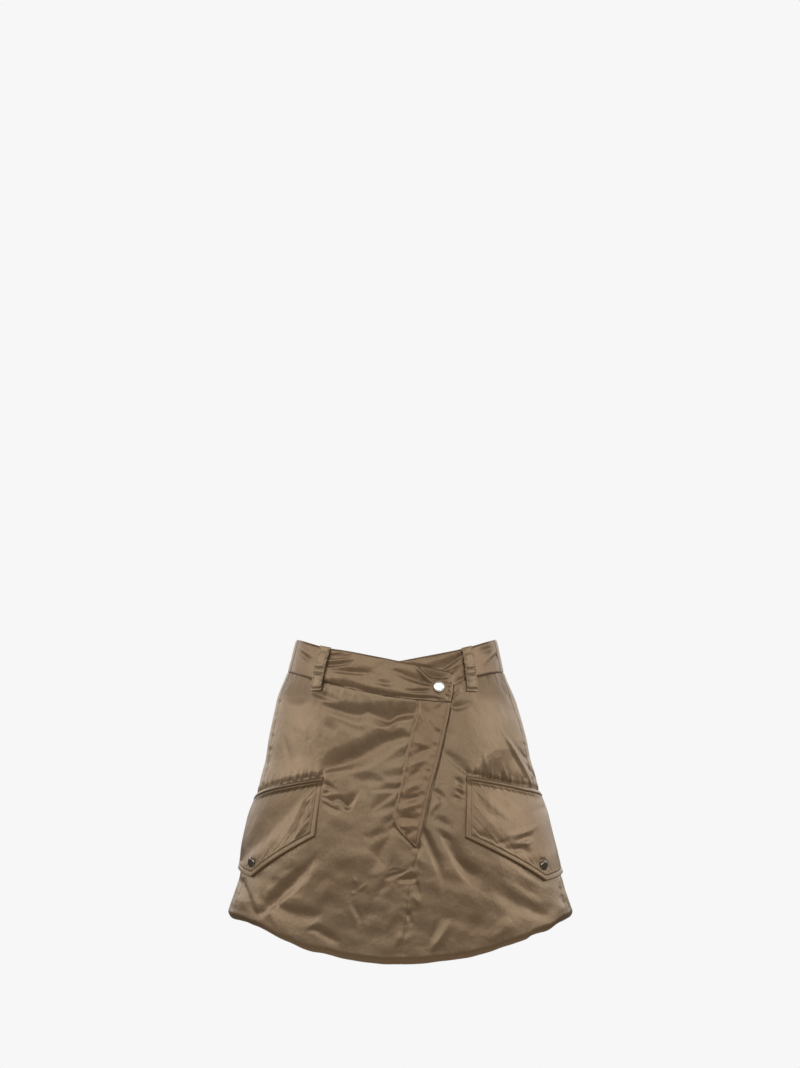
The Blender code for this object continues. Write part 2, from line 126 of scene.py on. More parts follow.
# Lines that run down the front: height, and x there.
FLY_EDGE = (Mark(67.5, -23), Mark(63.5, -61), Mark(51, -121), Mark(38, -171), Mark(29, -212),
            Mark(23, -240), Mark(17, -268), Mark(11, -300), Mark(8, -330), Mark(0, -385))
PLACKET_INNER = (Mark(22, -50), Mark(21.5, -72), Mark(9.5, -121), Mark(-0.5, -171),
                 Mark(-7.5, -200), Mark(-4.5, -216), Mark(18, PLACKET_END))

# How far the hem's edge strays up or down.
HEM_STRAYS = (Mark(-222, 0), Mark(-190, 0.6), Mark(-150, -0.5), Mark(-114, -1.8), Mark(-98, 0.4),
              Mark(-60, 0.2), Mark(0, 0), Mark(60, 0.4), Mark(100, -0.7), Mark(125, 0.3),
              Mark(160, -0.8), Mark(167, 0.9), Mark(180, -0.4), Mark(190, -1.6), Mark(202, 0.8),
              Mark(222, 0))

# A flap from its front edge, past its point, to its back edge: degrees in front of the side at
# its top, the heights of its top and bottom, and how many degrees further forward its bottom is.
FlapEdge = namedtuple("FlapEdge", "degrees top bottom slant")
FLAPS = {
    "right": (FlapEdge(57.5, -153, -227, 0), FlapEdge(24.5, -166, -278.5, 0),
              FlapEdge(-13, -182, -261, 0)),
    "left": (FlapEdge(60.8, -151.5, -228.5, 3.7), FlapEdge(28.2, -165.3, -283, 0),
             FlapEdge(-13, -175, -268.5, 0)),
}

# Belt loops: x at the top and at the bottom, the height of the bottom, and the face they are on.
Loop = namedtuple("Loop", "name top_x bottom_x bottom face")
LOOPS = (
    Loop("belt_loop_front_right", -92.5, -105, -45.5, 1),
    Loop("belt_loop_front_left", 83, 90, -46.5, 1),
    Loop("belt_loop_back_right", -80, -86, -52, -1),
    Loop("belt_loop_back_left", 71, 77, -52, -1),
    Loop("belt_loop_back_centre", -4.5, -4.5, -62, -1),
)

Snap = namedtuple("Snap", "name x height lean")
WAIST_SNAP = Snap("waist_snap", 48.0, -41.5, (-0.09, 0.0, 0.09))
FLAP_SNAPS = {"right": Snap("flap_snap_right", -182.8, -261, (0.0, 0.0, -0.30)),
              "left": Snap("flap_snap_left", 176.9, -265, (0.0, 0.0, -0.34))}

# The main folds. Each has a softness, how round its line is, and the knots that it runs through. At
# a knot it reaches this far to the left and to the right of its line, going on from the first knot
# as seen from the front, and moves the cloth out by its height there: a trough is below 0.
Break = namedtuple("Break", "soft knots")
FRONT_BREAKS = (
    # under the tab, from the belt loop to the fly
    Break(0.12, ((-99, -61, 2, 4, 0), (-90, -66.5, 7, 7, -1.6), (-72, -72.5, 13, 9, -2.8),
                 (-51, -77, 15, 12, -3.3), (-41, -73.5, 13, 14, -3.2), (-27, -79, 18, 12, -4.0),
                 (-13, -84, 24, 7, -4.8), (-4, -78.5, 18, 7, -4.0), (6, -76, 17, 7, -3.6),
                 (18, -75, 15, 7, -2.7), (30, -75, 13, 7, 0))),
    Break(0.20, ((-30, -86, 2, 4, 0), (-21, -89, 2.5, 4, -0.4), (-14, -92, 3, 5, -0.6),
                 (-6, -90, 3, 5, -0.4), (4, -84, 2, 4, 0))),
    Break(0.40, ((-86, -81, 6, 8, 0), (-70, -87, 8, 8, -0.8), (-54, -94, 9, 9, -0.9),
                 (-40, -98, 8, 8, 0))),
    Break(0.35, ((-116, -44, 3, 4, 0), (-104, -49, 7, 5, -1.6), (-90, -54.5, 7, 5, -1.4),
                 (-74, -59, 3, 3, 0))),
    Break(0.60, ((-148, -50, 8, 8, 0), (-136, -52, 20, 14, -2.6), (-122, -52, 22, 14, -2.8),
                 (-110, -50, 12, 8, 0))),
    # the broad diagonal from the placket to the right flap
    Break(0.20, ((-101, -150, 6, 5, 0), (-92, -143.5, 12, 6, -2.2), (-80, -139.5, 18, 9, -3.8),
                 (-64, -134.5, 19, 13, -4.6), (-48, -127.0, 19, 16, -4.5),
                 (-32, -118.5, 18, 16, -4.3), (-16, -110.0, 17, 14, -3.9),
                 (-4, -107, 15, 10, -3.0), (6, -104, 11, 8, -1.9), (14, -103, 8, 6, 0))),
    Break(0.30, ((-92, -153, 3, 5, 0), (-80, -150, 4, 6, -0.5), (-66, -148, 4, 7, -0.4),
                 (-52, -145, 3, 6, 0))),
    # beside the placket
    Break(0.35, ((-20, -137, 5, 7, 0), (-8, -133, 12, 8, -1.3), (2, -129, 13, 7, -1.8),
                 (12, -124, 8, 5, -1.0))),
    Break(0.30, ((-24, -151, 5, 6, 0), (-12, -153.5, 9, 6, -1.1), (0, -152, 10, 6, -1.5),
                 (8, -150, 6, 4, 0))),
    Break(0.60, ((-68, -150, 8, 8, 0), (-48, -156, 11, 10, -1.3), (-30, -158, 10, 10, -1.2),
                 (-14, -161, 6, 6, 0))),
    Break(0.15, ((-38, -170.5, 4, 4, 0), (-20, -169, 7, 4, -1.0), (-6, -168.5, 8, 3.5, -1.5),
                 (2, -168, 6, 3, -1))),
    Break(0.15, ((-38, -195, 4, 3, 0), (-24, -186, 9, 4, -1.0), (-13, -178, 8, 4, -1.2),
                 (-3, -170, 4, 2, 0))),
    Break(0.40, ((-40, -198, 6, 6, 0), (-22, -194, 9, 8, -1.2), (-10, -191, 9, 7, -1.2),
                 (0, -187, 5, 5, 0))),
    Break(0.20, ((-24, -213, 4, 6, 0), (-14, -208, 10, 6, -1.4), (-7, -202, 8, 4, -0.9),
                 (0, -198, 4, 4, 0))),
    # beside the right flap's corner
    Break(0.12, ((-99, -159, 2, 3, 0), (-92, -163, 4.5, 3.5, -2.0), (-85, -167.5, 4.5, 4, -1.6),
                 (-77, -172, 3, 4, 0))),
    Break(0.12, ((-99, -173, 2, 3, 0), (-93, -173.5, 3.5, 3, -1.5), (-84, -171.5, 2.5, 3, 0))),
    Break(0.10, ((-99, -177.5, 2, 3, 0), (-92, -180, 4, 3, -1.4), (-85, -184, 8, 4, -2.0),
                 (-79, -181.5, 6, 4, -1.7), (-74, -183, 8, 4, -2.2), (-67, -190, 14, 5, -3.0),
                 (-60, -185, 11, 7, -2.2), (-54, -176, 8, 6, -1.1), (-49, -167, 4, 4, 0))),
    Break(0.12, ((-98, -183, 2, 4, 0), (-89, -189, 3.5, 5, -1.6), (-80, -194, 3, 6, -1.2),
                 (-72, -197, 2, 5, 0))),
    # below the right flap
    Break(0.50, ((-48, -226, 4, 6, 0), (-36, -228, 6, 8, -0.8), (-24, -224, 10, 8, -1.6),
                 (-14, -219, 13, 8, -2.2), (-6, -215, 10, 6, -1.8), (2, -212, 6, 4, 0))),
    Break(0.70, ((-116, -284, 6, 8, 0), (-102, -272, 18, 18, 0.6), (-86, -262, 22, 20, 1.0),
                 (-68, -254, 22, 20, 1.3), (-52, -250, 16, 18, 1.4), (-38, -252, 14, 18, 1.4),
                 (-25, -257, 6, 8, 0))),
    Break(0.20, ((-38, -274, 6, 5, 0), (-30, -260, 12, 11, -2.0), (-23, -245, 12, 11, -2.5),
                 (-16, -232, 9, 7, -1.9), (-8, -220, 4, 3, 0))),
    Break(0.70, ((-183, -327, 6, 8, 0), (-166, -316, 17, 10, -3.6), (-149, -300, 18, 11, -4.8),
                 (-137, -289, 17, 12, -4.4), (-128, -280, 14, 13, -3.2),
                 (-120, -271, 10, 14, -2.0), (-112, -262, 8, 12, -1.2), (-102, -250, 4, 8, 0))),
    Break(0.50, ((-158, -311, 4, 10, 0), (-150, -316, 8, 14, -1.6), (-141, -320, 12, 17, -2.4),
                 (-132, -323, 14, 18, -2.8), (-119, -325, 14, 17, -2.5), (-107, -325, 11, 13, -1.6),
                 (-94, -323, 6, 8, 0))),
    Break(0.20, ((-116, -343, 3, 4, 0), (-106, -342, 7, 5, -1.8), (-96, -346, 9, 7, -2.0),
                 (-84, -353, 8, 6, -1.4), (-72, -358, 5, 4, 0))),
    Break(0.30, ((-214, -314, 4, 3, 0), (-203, -324, 12, 3, -2.6), (-188, -333, 20, 3, -4.2),
                 (-172, -340, 20, 3, -3.4), (-156, -347, 12, 3, -1.8), (-138, -355, 9, 3, -1.0),
                 (-118, -363, 7, 3, -0.8), (-96, -366, 5, 3, 0))),
    Break(0.70, ((-203, -276, 4, 8, 0), (-197, -289, 8, 14, -1.2), (-191, -299, 9, 16, -1.7),
                 (-186, -310, 10, 16, -1.8), (-181, -323, 8, 12, -1.0), (-178, -332, 4, 6, 0))),
    # from the foot of the fly
    Break(0.15, ((27, -211, 2, 3, 0), (31, -225, 7, 5, -3.0), (37, -240, 8, 6, -3.8),
                 (44, -255, 8, 6, -3.2), (50, -273, 7, 6, -2.0), (54, -296, 5, 5, 0))),
    Break(0.45, ((46, -216, 4, 4, 0), (58, -234, 12, 8, -2.4), (70, -254, 15, 9, -3.4),
                 (84, -274, 14, 9, -2.8), (98, -292, 8, 8, 0))),
    Break(0.10, ((-16, -271, 2, 2, 0), (-8, -268.5, 3, 1.5, -1.0), (3, -268, 2, 1.5, 0))),
    Break(0.12, ((-20, -280, 3, 3, 0), (-9, -275.5, 6, 3, -1.9), (2, -272, 4, 2, -1.6),
                 (10, -267, 2, 2, 0))),
    Break(0.20, ((-5, -280, 3, 4, 0), (6, -280, 7, 4, -2.2), (16, -279, 7, 4, -2.0),
                 (23, -276, 3, 3, 0))),
    Break(0.12, ((18, -276, 2, 2, 0), (20.5, -286, 3, 2.5, -1.6), (22.5, -297, 3, 2.5, -1.5),
                 (24, -304, 2, 2, 0))),
    Break(0.15, ((7, -314, 2, 2, 0), (10.5, -324, 3.5, 2.5, -1.8), (13, -332, 3, 2.5, -1.2),
                 (15, -338, 2, 2, 0))),
    Break(0.40, ((63, -328, 6, 6, 0), (55, -342, 8, 8, 2.0), (46, -355, 8, 7, 2.2),
                 (35, -368, 6, 5, 0))),
    # the left hip
    Break(0.30, ((53, -119, 3, 3, 0), (64, -131, 8, 5, -1.5), (74, -141, 11, 5, -2.1),
                 (84, -149, 9, 4, -1.7), (90, -154, 5, 3, 0))),
    Break(0.32, ((90, -150, 4, 3, 0), (101, -152.5, 17, 3, -3.4), (114, -154.5, 26, 3, -5.8),
                 (127, -157, 31, 3, -7.0), (141, -160, 31, 3, -6.4), (152, -163, 20, 3, -3.8),
                 (162, -165, 6, 3, 0))),
    Break(0.15, ((126, -94, 3, 4, 0), (141, -117, 6, 6, 2.4), (154, -141, 6, 6, 3.0),
                 (168, -168, 4, 4, 0))),
    Break(0.20, ((60, -65, 4, 4, 0), (70, -67, 8, 5, -2.0), (80, -65, 8, 5, -1.6),
                 (90, -60, 3, 4, 0))),
    Break(0.10, ((59, -63, 2, 2, 0), (66, -54, 3, 2.5, 1.6), (73, -47, 2.5, 2, 1.2),
                 (78, -43, 2, 2, 0))),
    Break(0.70, ((104, -46, 4, 8, 0), (118, -56, 20, 18, -1.2), (132, -62, 30, 22, -2.4),
                 (145, -66, 30, 20, -2.2), (156, -68, 14, 10, 0))),
    # below the left flap
    Break(0.60, ((66, -250, 6, 6, 0), (77, -262, 10, 10, -1.4), (91, -273, 14, 16, -2.2),
                 (106, -283, 15, 20, -2.2), (129, -299, 17, 22, -2.4), (153, -314, 17, 16, -2.3),
                 (175, -324, 12, 11, -1.8), (192, -333, 6, 6, 0))),
)
BACK_BREAKS = (
    # under the belt loops
    Break(0.50, ((-98, -60, 3, 6, 0), (-82, -66, 9, 10, -1.6), (-60, -71, 13, 12, -2.6),
                 (-38, -80, 12, 12, -2.2), (-18, -92, 8, 8, -1.0), (-8, -98, 4, 5, 0))),
    Break(0.45, ((14, -80, 4, 5, 0), (30, -80, 8, 8, -1.2), (52, -74, 12, 10, -2.4),
                 (72, -65, 10, 8, -1.6), (90, -59, 5, 5, 0))),
    # over the seat
    Break(0.55, ((-114, -166, 5, 6, 0), (-94, -157, 15, 12, -2.2), (-68, -148, 21, 16, -3.4),
                 (-40, -133, 20, 17, -3.0), (-14, -116, 12, 11, -1.4), (0, -106, 5, 6, 0))),
    Break(0.60, ((22, -136, 5, 6, 0), (40, -138, 12, 10, -1.3), (62, -148, 17, 14, -2.6),
                 (84, -163, 16, 12, -2.4), (104, -178, 8, 7, 0))),
    # from the flaps towards the centre
    Break(0.40, ((-152, -228, 5, 5, 0), (-132, -212, 12, 10, -2.0), (-108, -202, 15, 12, -2.4),
                 (-80, -200, 11, 10, -1.3), (-56, -206, 5, 5, 0))),
    Break(0.45, ((78, -222, 4, 5, 0), (96, -222, 10, 9, -1.3), (118, -229, 14, 11, -2.3),
                 (140, -243, 12, 9, -1.8), (156, -254, 5, 5, 0))),
    # down to the hem
    Break(0.60, ((-176, -326, 5, 8, 0), (-152, -313, 16, 15, -2.8), (-118, -288, 21, 18, -3.8),
                 (-82, -260, 19, 17, -3.0), (-48, -240, 12, 11, -1.5), (-30, -232, 5, 6, 0))),
    Break(0.60, ((50, -262, 5, 6, 0), (72, -271, 13, 12, -1.7), (102, -288, 19, 16, -3.2),
                 (132, -305, 19, 15, -3.4), (158, -319, 12, 10, -1.9), (178, -326, 5, 6, 0))),
    Break(0.30, ((-24, -222, 3, 4, 0), (-19, -242, 8, 6, -2.2), (-13, -264, 8, 6, -2.6),
                 (-8, -286, 6, 5, -1.3), (-6, -300, 3, 3, 0))),
    Break(0.30, ((12, -292, 3, 4, 0), (17, -310, 7, 6, -1.8), (24, -328, 7, 6, -1.6),
                 (29, -344, 3, 3, 0))),
    Break(0.50, ((-82, -330, 5, 6, 0), (-54, -339, 12, 9, -2.2), (-24, -344, 10, 8, -1.5),
                 (-4, -346, 4, 5, 0))),
)
TAB_BREAKS = (
    # pulled from the belt loop
    Break(0.10, ((-99, -5.5, 3, 2, -0.6), (-82, -5, 4, 2, -1.5), (-66, -3, 3, 2, -1.0),
                 (-55, -1.5, 2, 1.5, 0))),
    Break(0.10, ((-99, -14, 5, 2.5, -0.8), (-80, -14, 6.5, 2.5, -2.0), (-68, -12.5, 5.5, 2, -1.5),
                 (-54, -9.5, 3, 2, 0))),
    Break(0.25, ((-90, -19.5, 3, 3, 0), (-75, -21.5, 5, 3, -1.3), (-60, -23, 5.5, 4, -1.5),
                 (-45, -24, 5, 4, -1.0), (-28, -25, 3, 4, 0))),
    # over the seam
    Break(0.15, ((-101, -36, 5, 1.5, -1.0), (-84, -38.5, 8, 1.5, -2.2), (-60, -42.5, 8, 1.5, -2.0),
                 (-40, -47.5, 6, 1.5, -1.4), (-18, -51, 3, 1.5, -0.6), (-10, -52, 2, 1, 0))),
    Break(0.15, ((-18, -52, 2, 1, 0), (0, -54, 4, 1.2, -1.3), (20, -56, 4.5, 1.2, -1.6),
                 (42, -57, 4, 1.2, -1.3), (60, -59, 2, 1, 0))),
    # towards the press stud
    Break(0.30, ((-24, -20, 3, 3, 0), (-8, -22, 5, 5, -1.0), (8, -29, 7, 5, -1.8),
                 (22, -35, 10, 3, -2.4), (34, -38, 9, 3, -2.0), (42, -39, 4, 2, 0))),
    Break(0.12, ((0, -45.5, 2, 2, 0), (15, -47.5, 3.5, 2, -1.2), (30, -47.5, 4, 2, -1.4),
                 (42, -46, 3, 2, 0))),
    Break(0.08, ((16, -11, 1.5, 1.5, 0), (22, -19, 2.5, 2.5, 1.8), (30, -28, 3, 2.5, 2.2),
                 (37, -35, 2.5, 2, 1.4), (42, -40, 1.5, 1.5, 0))),
    Break(0.12, ((20, -12, 3, 1.5, 0), (27, -20, 9, 1.5, -2.0), (36, -28, 13, 1.5, -3.0),
                 (46, -31, 12, 1.5, -2.8), (56, -31, 8, 1.5, -1.8), (64, -30, 4, 1.5, 0))),
    Break(0.30, ((-32, -34, 3, 4, 0), (-20, -38, 5, 4, -1.2), (-6, -39, 4, 4, 0))),
)
UNDER_BREAKS = (
    Break(0.12, ((34, -17, 2, 2, 0), (50, -20, 9, 2, -1.8), (62, -14, 11, 2, -2.6),
                 (74, -5, 8, 2, -2.0), (81, 1, 3, 2, 0))),
    Break(0.12, ((58, -26, 2, 2, 0), (68, -20, 4, 2, -1.3), (80, -14, 3, 2, 0))),
    Break(0.15, ((66, -36, 2, 2, 0), (74, -33, 5, 2, -1.4), (83, -28, 3, 2, 0))),
)

# Finer creases. Each runs from one end to the other with a bend to its left, and a lean below 1
# makes it deepest near its start.
Crease = namedtuple("Crease", "x0 z0 x1 z1 bend width height lean", defaults=[1])
FRONT_CREASES = (
    Crease(-95, -87, -77, -99, 0, 5, -0.9),
    Crease(-62, -160, -40, -176, 2, 6, -1.0),
    Crease(-90, -204, -60, -212, 2, 8, 0.8),
    Crease(-57, -311, -49, -334, 1, 3, -1.2),
    Crease(-63, -311, -54, -332, 1, 4, 0.9),
    Crease(-57, -278, -53, -285, 0, 1.8, 0.8),
    Crease(-52, -294, -41, -285, 0, 1.8, 0.8),
    Crease(-60, -297, -55, -296, 0, 1.8, 0.8),
    Crease(-34, -311, -42, -335, -1, 5, -1),
    Crease(-15, -281, -28, -296, 1, 4, -1.2),
    Crease(-28, -300, -20, -318, 1, 8, 1.0),
    Crease(-8, -318, -16, -340, 1, 4, 1.0),
    Crease(2, -340, -6, -362, 1, 3, 1.1),
    Crease(15, -297, 25, -312, 0, 2.4, 1),
    Crease(16, -262, 17, -269, 0, 1.4, -0.8),
    Crease(20, -244, 26, -262, 0, 3, 1.0),
    Crease(-86, -280, -104, -311, 2, 7, 1),
    # the right hip
    Crease(-128, -79, -117, -110, 2, 9, 1.2),
    Crease(-147, -100, -137, -144, 2, 6, -0.8),
    Crease(-170, -300, -178, -318, 0, 5, -1.0),
    # the left hip
    Crease(126, -36, 136, -48, 0, 4, -1.0, 0.8),
    Crease(55, -93, 68, -105, 0, 5, -0.9),
    Crease(104, -124, 113, -150, -1, 3, 1.2),
    Crease(131, -136, 140, -157, -1, 2.4, 1.2),
    Crease(156, -134, 175, -160, -1, 3, -2),
    Crease(148, -117, 161, -134, 0, 3, -1.3),
    Crease(122, -57, 129, -101, 2, 9, 1.2),
    # pulls beside the left flap's corner
    Crease(69, -156, 83, -168, 0, 3, -1.9, 0.8),
    Crease(70, -170, 82, -178, 0, 2.4, -1.8, 0.8),
    Crease(66, -178, 82, -186, 1, 3, -1.9, 0.9),
    Crease(72, -165, 82, -174, 0, 2, 1.2, 0.9),
    Crease(41, -169, 56, -184, 1, 3, -1.7),
    Crease(37, -197, 54, -179, 1, 3, 1.2),
    Crease(42, -204, 62, -216, 1, 4, -1.5),
    Crease(52, -224, 64, -234, 0, 3, -1.2),
    # below the left flap
    Crease(130, -259, 185, -296, -3, 7, 1.4),
    Crease(201, -307, 219, -336, 0, 6, -1.4),
    Crease(45, -329, 38, -363, 1, 3, -1.2),
    Crease(49, -345, 40, -367, 1, 2, 1),
    Crease(138, -328, 108, -357, 2, 7, 1.4),
    Crease(106, -315, 86, -348, 3, 9, -1.2),
    Crease(150, -300, 178, -322, 2, 6, 1.0),
)
BACK_CREASES = (
    Crease(-74, -78, -36, -96, 2, 3, 1.3),
    Crease(66, -79, 30, -94, -2, 3, 1.2),
    Crease(-96, -60, -122, -76, 1, 5, -1.2, 0.8),
    Crease(92, -58, 120, -72, -1, 5, -1.3, 0.8),
    Crease(-8, -148, -70, -172, 4, 4, 1.2),
    Crease(12, -140, 76, -174, -5, 4, 1.3),
    Crease(-110, -110, -138, -156, 2, 6, 1.2),
    Crease(104, -104, 136, -150, -2, 6, 1.2),
    # from the flaps' back edges towards the centre
    Crease(-156, -196, -136, -200, -1, 3, -1.8, 0.8),
    Crease(-156, -206, -128, -204, -1, 3, 1.2, 0.8),
    Crease(154, -198, 132, -206, 1, 3, -1.8, 0.8),
    Crease(152, -210, 128, -214, 1, 3, 1.2, 0.8),
    # down to the hem
    Crease(-14, -242, -52, -280, 3, 5, 1.3),
    Crease(18, -226, 44, -258, -4, 5, -1.6),
    Crease(18, -246, 60, -288, -3, 5, 1.4),
    Crease(-84, -306, -130, -340, 3, 5, 1.4),
    Crease(90, -312, 136, -342, -3, 5, 1.3),
    Crease(-50, -318, -66, -346, 1, 4, 1.1),
    Crease(64, -316, 76, -344, -1, 4, 1.1),
    Crease(-186, -300, -176, -330, 1, 5, -1.4),
    Crease(186, -296, 178, -328, -1, 5, -1.4),
)
TAB_CREASES = (
    Crease(-93, -1, -65, 1, -1, 1.8, -1.1, 0.7),
    Crease(-126, 7, -107, -8, -1, 3.5, -1.3),
    Crease(-128, 16, -109, -3, -1, 3, 1),
    Crease(-62, -10, 2, -20, -2, 5, 1),
    Crease(-40, -20, 0, -8, -2, 4, -1.0),
    Crease(-50, -38, 12, -49, 0, 4, 1.0),
    Crease(54, -33, 65, -27, 0, 1.8, 0.9),
    Crease(55, -38, 66, -39, 0, 1.8, -1.0),
    Crease(56, -43, 64, -46, 0, 1.6, 0.9),
    Crease(53, -50, 62, -57, 0, 2, -1.0),
    Crease(46, -52, 49, -58, 0, 1.8, 0.9),
)
UNDER_CREASES = (
    Crease(30, -13, 57, -4, 1, 3, 1),
    Crease(98, 4, 116, 10, 0, 3, -1.2),
    Crease(103, -11, 119, 7, 1, 3, 1),
    Crease(113, -8, 124, 5, 0, 3, -1.3),
    Crease(95, -22, 122, -18, -1, 3, 0.8),
)
BACK_BAND_CREASES = (
    Crease(-74, -4, -46, -8, 1, 1.8, -1.1, 0.7),
    Crease(-74, -12, -40, -14, 1, 1.7, 0.9, 0.7),
    Crease(-76, -24, -44, -28, 0, 2, -1.1, 0.7),
    Crease(66, 0, 40, -8, -1, 1.8, -1, 0.7),
    Crease(66, -10, 36, -16, -1, 1.8, 0.9, 0.7),
    Crease(68, -22, 40, -30, 0, 2, -1, 0.8),
    Crease(-98, 8, -118, 2, 1, 3, -1.2),
    Crease(96, 10, 116, 0, -1, 3, -1.2),
    Crease(-10, -20, -38, -24, 1, 2.4, -1.1, 0.7),
    Crease(4, -18, 30, -20, 1, 2.4, 1, 0.7),
    Crease(4, -32, 34, -34, 0, 2.6, -1, 0.8),
)
PLACKET_CREASES = (
    Crease(25, -63, 35, -85, 1, 3.5, -1.0, 0.8),
    Crease(35, -78, 51, -98, 0, 2.6, 0.8),
    Crease(15, -68, 30, -85, 0, 2.6, 0.8),
    Crease(42, -73, 54, -63, 0, 2.4, -0.7),
    Crease(14, -110, 32, -115, 1, 3, 1.0),
    Crease(15, -128, 40, -118, 1, 3.2, -1.2),
    Crease(10, -142, 35, -132, 1, 3.2, 1.1),
    Crease(11, -155, 25, -145, 0, 2.6, -1.0),
    Crease(30, -145, 42, -152, 0, 2.4, -0.8),
    Crease(5, -172, 25, -162, 1, 3.4, 1.2),
    Crease(2, -183, 30, -177, 0, 3, -1.2),
    Crease(0, -194, 25, -187, 0, 3.4, 1.3),
    Crease(-4, -204, 22, -207, 1, 3.6, -1.4),
    Crease(-2, -216, 15, -214, 0, 2.6, 0.9),
    Crease(0, -229, 17, -221, 0, 2.2, -0.9),
)
FLAP_CREASES = {
    "right": (
        Crease(-141, -243, -128, -223, 0, 2.2, 1.0),
        Crease(-116, -186, -104, -174, 0, 2.2, 0.9),
        Crease(-113, -203, -104, -188, 0, 3, 1.0),
        Crease(-124, -238, -109, -229, 0, 5, 1.2),
        Crease(-160, -238, -148, -208, 1, 5, 0.8),
        Crease(-150, -236, -136, -204, 1, 4, -0.8),
        Crease(-172, -243, -160, -222, 0, 5, -0.6),
    ),
    "left": (
        Crease(94, -178, 116, -206, -2, 4, -0.6, 0.9),
        Crease(100, -176, 124, -202, -2, 4, 0.5, 0.9),
        Crease(114, -176, 140, -200, -2, 5, -0.6, 0.9),
        Crease(133, -227, 169, -214, -2, 3, 1.0),
        Crease(139, -234, 162, -227, 0, 3, -0.9),
        Crease(97, -225, 114, -233, 0, 3, -1.0),
        Crease(118, -238, 132, -233, 0, 2.6, -1.0),
        Crease(134, -246, 155, -239, 0, 3.4, -1.2),
        Crease(146, -239, 162, -235, 0, 2.6, 0.9),
        Crease(160, -197, 188, -189, 0, 4, -1),
        Crease(149, -229, 165, -254, 0, 4, 1),
    ),
}
FLAP_BREAKS = {
    "right": (
        Break(0.70, ((-204, -264, 10, 8, 0), (-188, -247, 26, 16, -2.2), (-172, -230, 34, 20, -3.2),
                     (-156, -213, 38, 22, -3.4), (-143, -200, 34, 20, -3.0),
                     (-130, -186, 22, 14, -2.0), (-119, -174, 8, 8, 0))),
        Break(0.20, ((-144, -246, 4, 2, 0), (-134, -234, 9, 3, -0.9), (-124, -213, 11, 3, -1.4),
                     (-116, -193, 10, 3, -1.2), (-108, -174, 4, 2, 0))),
        Break(0.12, ((-133, -240, 2, 5, 0), (-124, -222, 2, 12, 1.1), (-116, -203, 2, 14, 1.5),
                     (-109, -184, 2, 9, 1.0), (-104, -172, 2, 4, 0))),
    ),
    "left": (
        Break(0.50, ((92, -174, 3, 4, 0), (106, -188, 6, 10, -0.6), (120, -201, 6, 11, -0.7),
                     (134, -212, 3, 5, 0))),
        Break(0.45, ((130, -240, 4, 6, 0), (144, -244, 9, 7, -1.2), (156, -246, 9, 7, -1.1),
                     (166, -249, 4, 4, 0))),
    ),
}
END_FADE = 6.0            # a main fold dies out this far past its ends
FACE_FADE = 0.15          # and where the sine of the turn falls under this, at the sides
SWELL = 1.2               # how much rounder a main fold gets with its softness
CREASE_ENDS = 0.2         # the share of its height that a crease keeps at its ends
CREST_ROUND = 0.28        # how round a crest is, in widths of its crease
CREST_REACH = 1.75        # how far its flanks reach, in the same
CREST_FALL = 1.25         # how softly they end, from 1, as an edge
BREAK_FALL = 1.12         # the same for a main fold

# How deep a seam or a row of stitches draws the padding in, and how far on each side.
SEAM_DIP = (0.9, 1.8)
WAIST_DIP = (0.35, 1.2)
BAND_TOP_DIP = (1.1, 1.3)
BAND_SEAM_DIP = (0.45, 1.0)
TAB_STITCH_DIP = (0.6, 1.1)
PLACKET_INNER_DIP = (0.6, 0.5)
PLACKET_EDGE_DIP = (0.4, 0.6)
PLACKET_STITCH_DIP = (0.6, 0.7)
PLACKET_END_DIP = (0.8, 1.6)
FLAP_STITCH_DIP = (0.8, 0.65)
FLAP_EDGE_DIP = (0.9, 0.5)
LOOP_STITCH_DIP = (0.3, 0.7)
LOOP_EDGE_DIP = (0.5, 0.8)
LOOP_TACK_DIP = (0.8, 1.5)
MID_DIP_REACH = 1.3
FLY_DIP = 1.1
BACK_DIP = 0.5

# Uneven waves: how far they move the cloth, how far apart they are, their seed and, along a seam,
# how far from it they reach. A pair of seeds is for the left and right, or the front and back.
Wave = namedtuple("Wave", "height spacing seed reach", defaults=[0.0])
WAVE_PARTS = ((1.0, 1.0, 1.0), (0.6, 1.73, 2.1), (0.45, 0.41, 3.7))    # height, rate, share of seed
BACK_HEM_WAVES = Wave(0.9, 52.0, 1.4)
HEM_PUCKERS = Wave(0.5, 38.0, 0.6)
FLAP_GATHERS = Wave(1.3, 11.0, 1.3, 17.0)
WAIST_GATHERS = Wave(0.6, 17.0, 0.4, 18.0)
SIDE_PUCKERS = Wave(0.55, 15.0, (2.0, 4.4), 12.0)
MID_PUCKERS = Wave(0.45, 21.0, (0.9, 3.1), 16.0)
TAB_WAVES = Wave(0.4, 19.0, 0.7)
BACK_BAND_WAVES = Wave(0.4, 21.0, 2.7)
PLACKET_INNER_PUCKERS = Wave(0.5, 17.0, 1.9, 12.0)
PLACKET_EDGE_PUCKERS = Wave(0.45, 15.0, 4.2, 9.0)
FLAP_PUCKERS = Wave(0.6, 11.0, 5.1, 6.0)


# ---------------------------------------------------------------- the form of the body
def ramp(value):
    """Smooth step from 0 to 1."""
    value = np.clip(value, 0.0, 1.0)
    return value * value * (3.0 - 2.0 * value)


def near(distance, reach):
    """1 at a seam, falling softly to 0 at a reach from it."""
    return ramp(1.0 - distance / reach)


